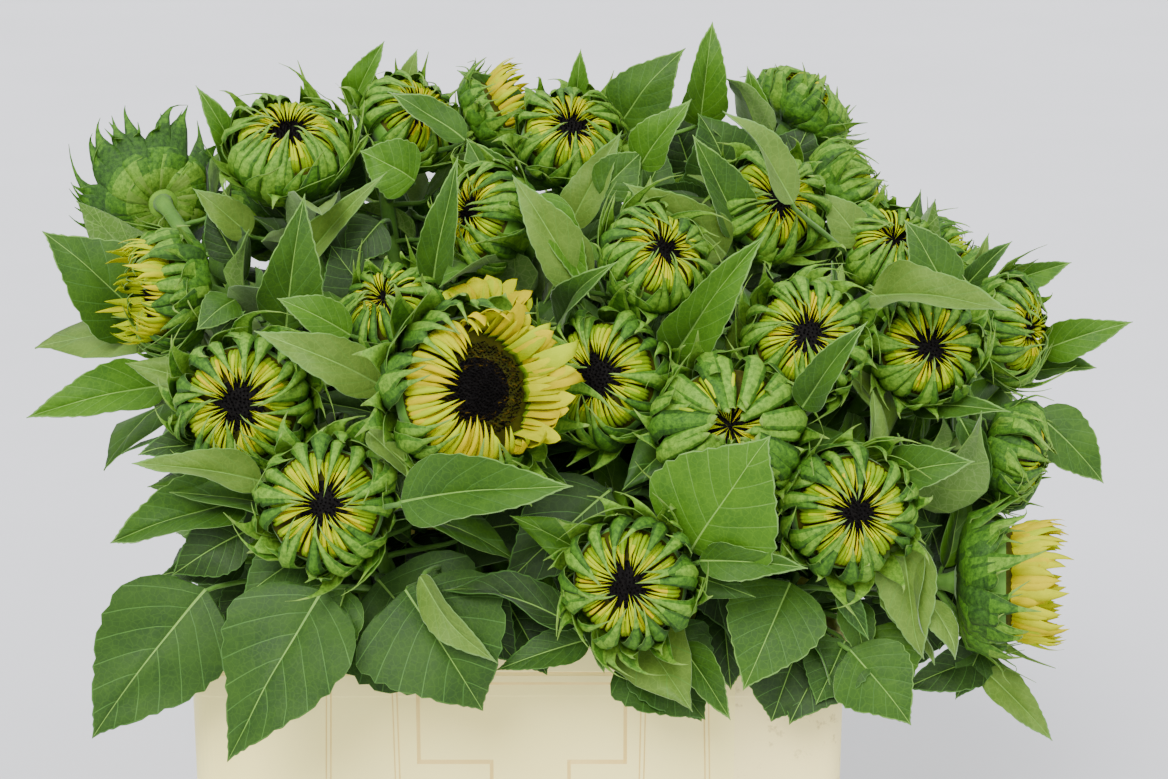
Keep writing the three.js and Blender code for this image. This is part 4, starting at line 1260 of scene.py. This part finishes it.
def crate_ring(inset, z, relief=False):
    """Points round the crate at one level: each corner's arc and then the side after it."""
    radius = crate["corner"] - inset / 2
    half_x = crate["width"] / 2 - inset - radius
    half_y = crate["depth"] / 2 - inset - radius
    long_stops, short_stops = side_stops()[1:-1], np.linspace(-deep, deep, short_columns)[1:-1]
    points = []
    for quarter, (sx, sy) in enumerate([(1, 1), (-1, 1), (-1, -1), (1, -1)]):
        for step in range(corner_steps + 1):
            angle = (quarter + step / corner_steps) * math.pi / 2
            x, y = sx * half_x + radius * math.cos(angle), sy * half_y + radius * math.sin(angle)
            points.append((x, y, z))
        if quarter % 2:
            points += [(sx * (half_x + radius), stop * half_y / deep, z) for stop in short_stops[::-sy]]
            continue
        for stop in long_stops[::-sy]:
            x = stop
            for top, bottom, half in ribs:
                if relief and abs(stop - top) < 2.5 * half:
                    x = stop + (bottom - top) * (1 - z / ledge)
            points.append((x, sy * (half_y + radius - (sunk_at(x, z) if relief else 0)), z))
    return points


def crate_shell():
    """Walls with a rim, a sunken panel on the long sides and upright ribs, and the plain inside."""
    height, draft, rim, wall = crate["height"], crate["draft"], crate["rim_proud"], crate["wall"]
    low, high = panel[0][1]
    foot = panel[1][1][0]
    levels = [
        10, 40, foot, foot + panel_slope, 110, 150, low - 0.01, low + panel_slope, 205,
        ridge_level, ridge_level + 1, high - panel_slope, high, ledge - 3,
    ]
    rings = [crate_ring(draft + 3, 0), crate_ring(draft, 3)]
    for z in levels:
        slope = draft + (rim - draft) * z / ledge
        rings.append(crate_ring(slope - (ridge_proud if z > ridge_level else 0), z, True))
    wall_rows = len(rings)
    for inset, z in [
        (rim + 0.6, ledge - 1.2), (rim + 0.6, ledge), (0.4, ledge), (0, ledge + 0.6), (0, height - 1.2),
        (0.5, height - 0.3), (1.4, height), (rim + wall - 1, height), (rim + wall, height - 1),
        (draft + wall, crate["floor"]),
    ]:
        rings.append(crate_ring(inset, z))
    rings = np.array(rings)
    rows, sides = rings.shape[:2]
    faces = grid_faces(rows, sides, True)
    points = rings.reshape(-1, 3)
    middle = points[faces].mean(1)
    dirty = (middle[:, 0] > dirty_from[0]) & (middle[:, 1] < dirty_from[1]) & (middle[:, 2] < ledge - 6)
    on_face = (np.abs(points[:, 1]) > deep + crate["corner"] - 8) & (points[:, 2] < ledge - 2)
    depth = np.array([sunk_at(x, z) if facing else 0.0 for (x, _, z), facing in zip(points, on_face)])
    edge = depth[faces].max(1) - depth[faces].min(1) > least_step
    row = np.repeat(np.arange(rows - 1), sides)
    # The two rows under the rim are painted darker as the shadow beneath it.
    under_rim_shadow = (row >= wall_rows) & (row < wall_rows + 2)
    made = Heap("crate_shell", crate_looks, "crate_plastic")
    looks = np.where(edge | under_rim_shadow, crease_shade, np.where(dirty, dirt, cream))
    add_rings(made, rings, looks, (cream, cream), False)
    return made


def nodes_of(chosen):
    """The solids of these flowers: their stems, and the heads that are apart."""
    return [plant.leafy_node for plant in chosen] + [plant.bloom_node for plant in chosen if not plant.fused]


leafy_nodes = [plant.leafy_node for plant in plants]
for group, heap in enumerate(leaf_heaps):
    heap.piece(leafy_nodes[group::groups])
stems.piece(leafy_nodes)
stalks.piece(leafy_nodes)
for group, heap in enumerate(bract_heaps):
    heap.piece(nodes_of(plants[group::len(bract_heaps)]))
for heap in (petals, florets, receptacles):
    heap.piece(nodes_of(plants))
crate_shell().piece(["crate"])


# Floor, light and camera

# The floor and the camera's place are in metres. A tilt of 90 degrees would look level.
floor_half = 14
camera_place = (0.040, -1.7476, 0.8474)
camera_tilt = 75
camera_lens = 87.7
# Soft far lights: where each comes from, its turn and rise, how wide it is and its power.
suns = {"key": (250, 43, 30, 4.3), "top": (100, 68, 70, 1.5), "fill": (305, 28, 60, 1.4)}
sky_colour = (0.95, 0.97, 1.0, 1)
sky_strength = 1.08


def add_floor():
    """A grey floor that the crate stands on."""
    ends = (-floor_half, floor_half)
    mesh = bpy.data.meshes.new("floor")
    mesh.from_pydata([(x, y, 0) for x in ends for y in ends], [], [(0, 2, 3, 1)])
    grey = finish("floor_grey", (209, 209, 214), (205, 205, 210), 1.5, (0.8, 0.95), 0.02, 200)
    mesh.materials.append(grey)
    in_scene("floor", mesh)


def add_sun(name, turn, rise, softness, power):
    """A light far away, as wide in the sky as its softness in degrees."""
    light = bpy.data.lights.new(name, "SUN")
    light.angle, light.energy = math.radians(softness), power
    lamp = in_scene(name, light)
    lamp.rotation_euler = Vector(direction(turn, rise)).to_track_quat("Z", "Y").to_euler()


def add_camera():
    """The camera that sees the crate as the photo does."""
    camera = bpy.data.cameras.new("camera")
    camera.sensor_width = 36
    camera.lens = camera_lens
    seen = in_scene("camera", camera)
    seen.location = camera_place
    seen.rotation_euler = (math.radians(camera_tilt), 0, 0)
    bpy.context.scene.camera = seen


add_floor()
for name, settings in suns.items():
    add_sun(name, *settings)
add_camera()
world = bpy.data.worlds.new("studio")
world.use_nodes = True
sky = world.node_tree.nodes["Background"]
sky.inputs["Color"].default_value = sky_colour
sky.inputs["Strength"].default_value = sky_strength
bpy.context.scene.world = world
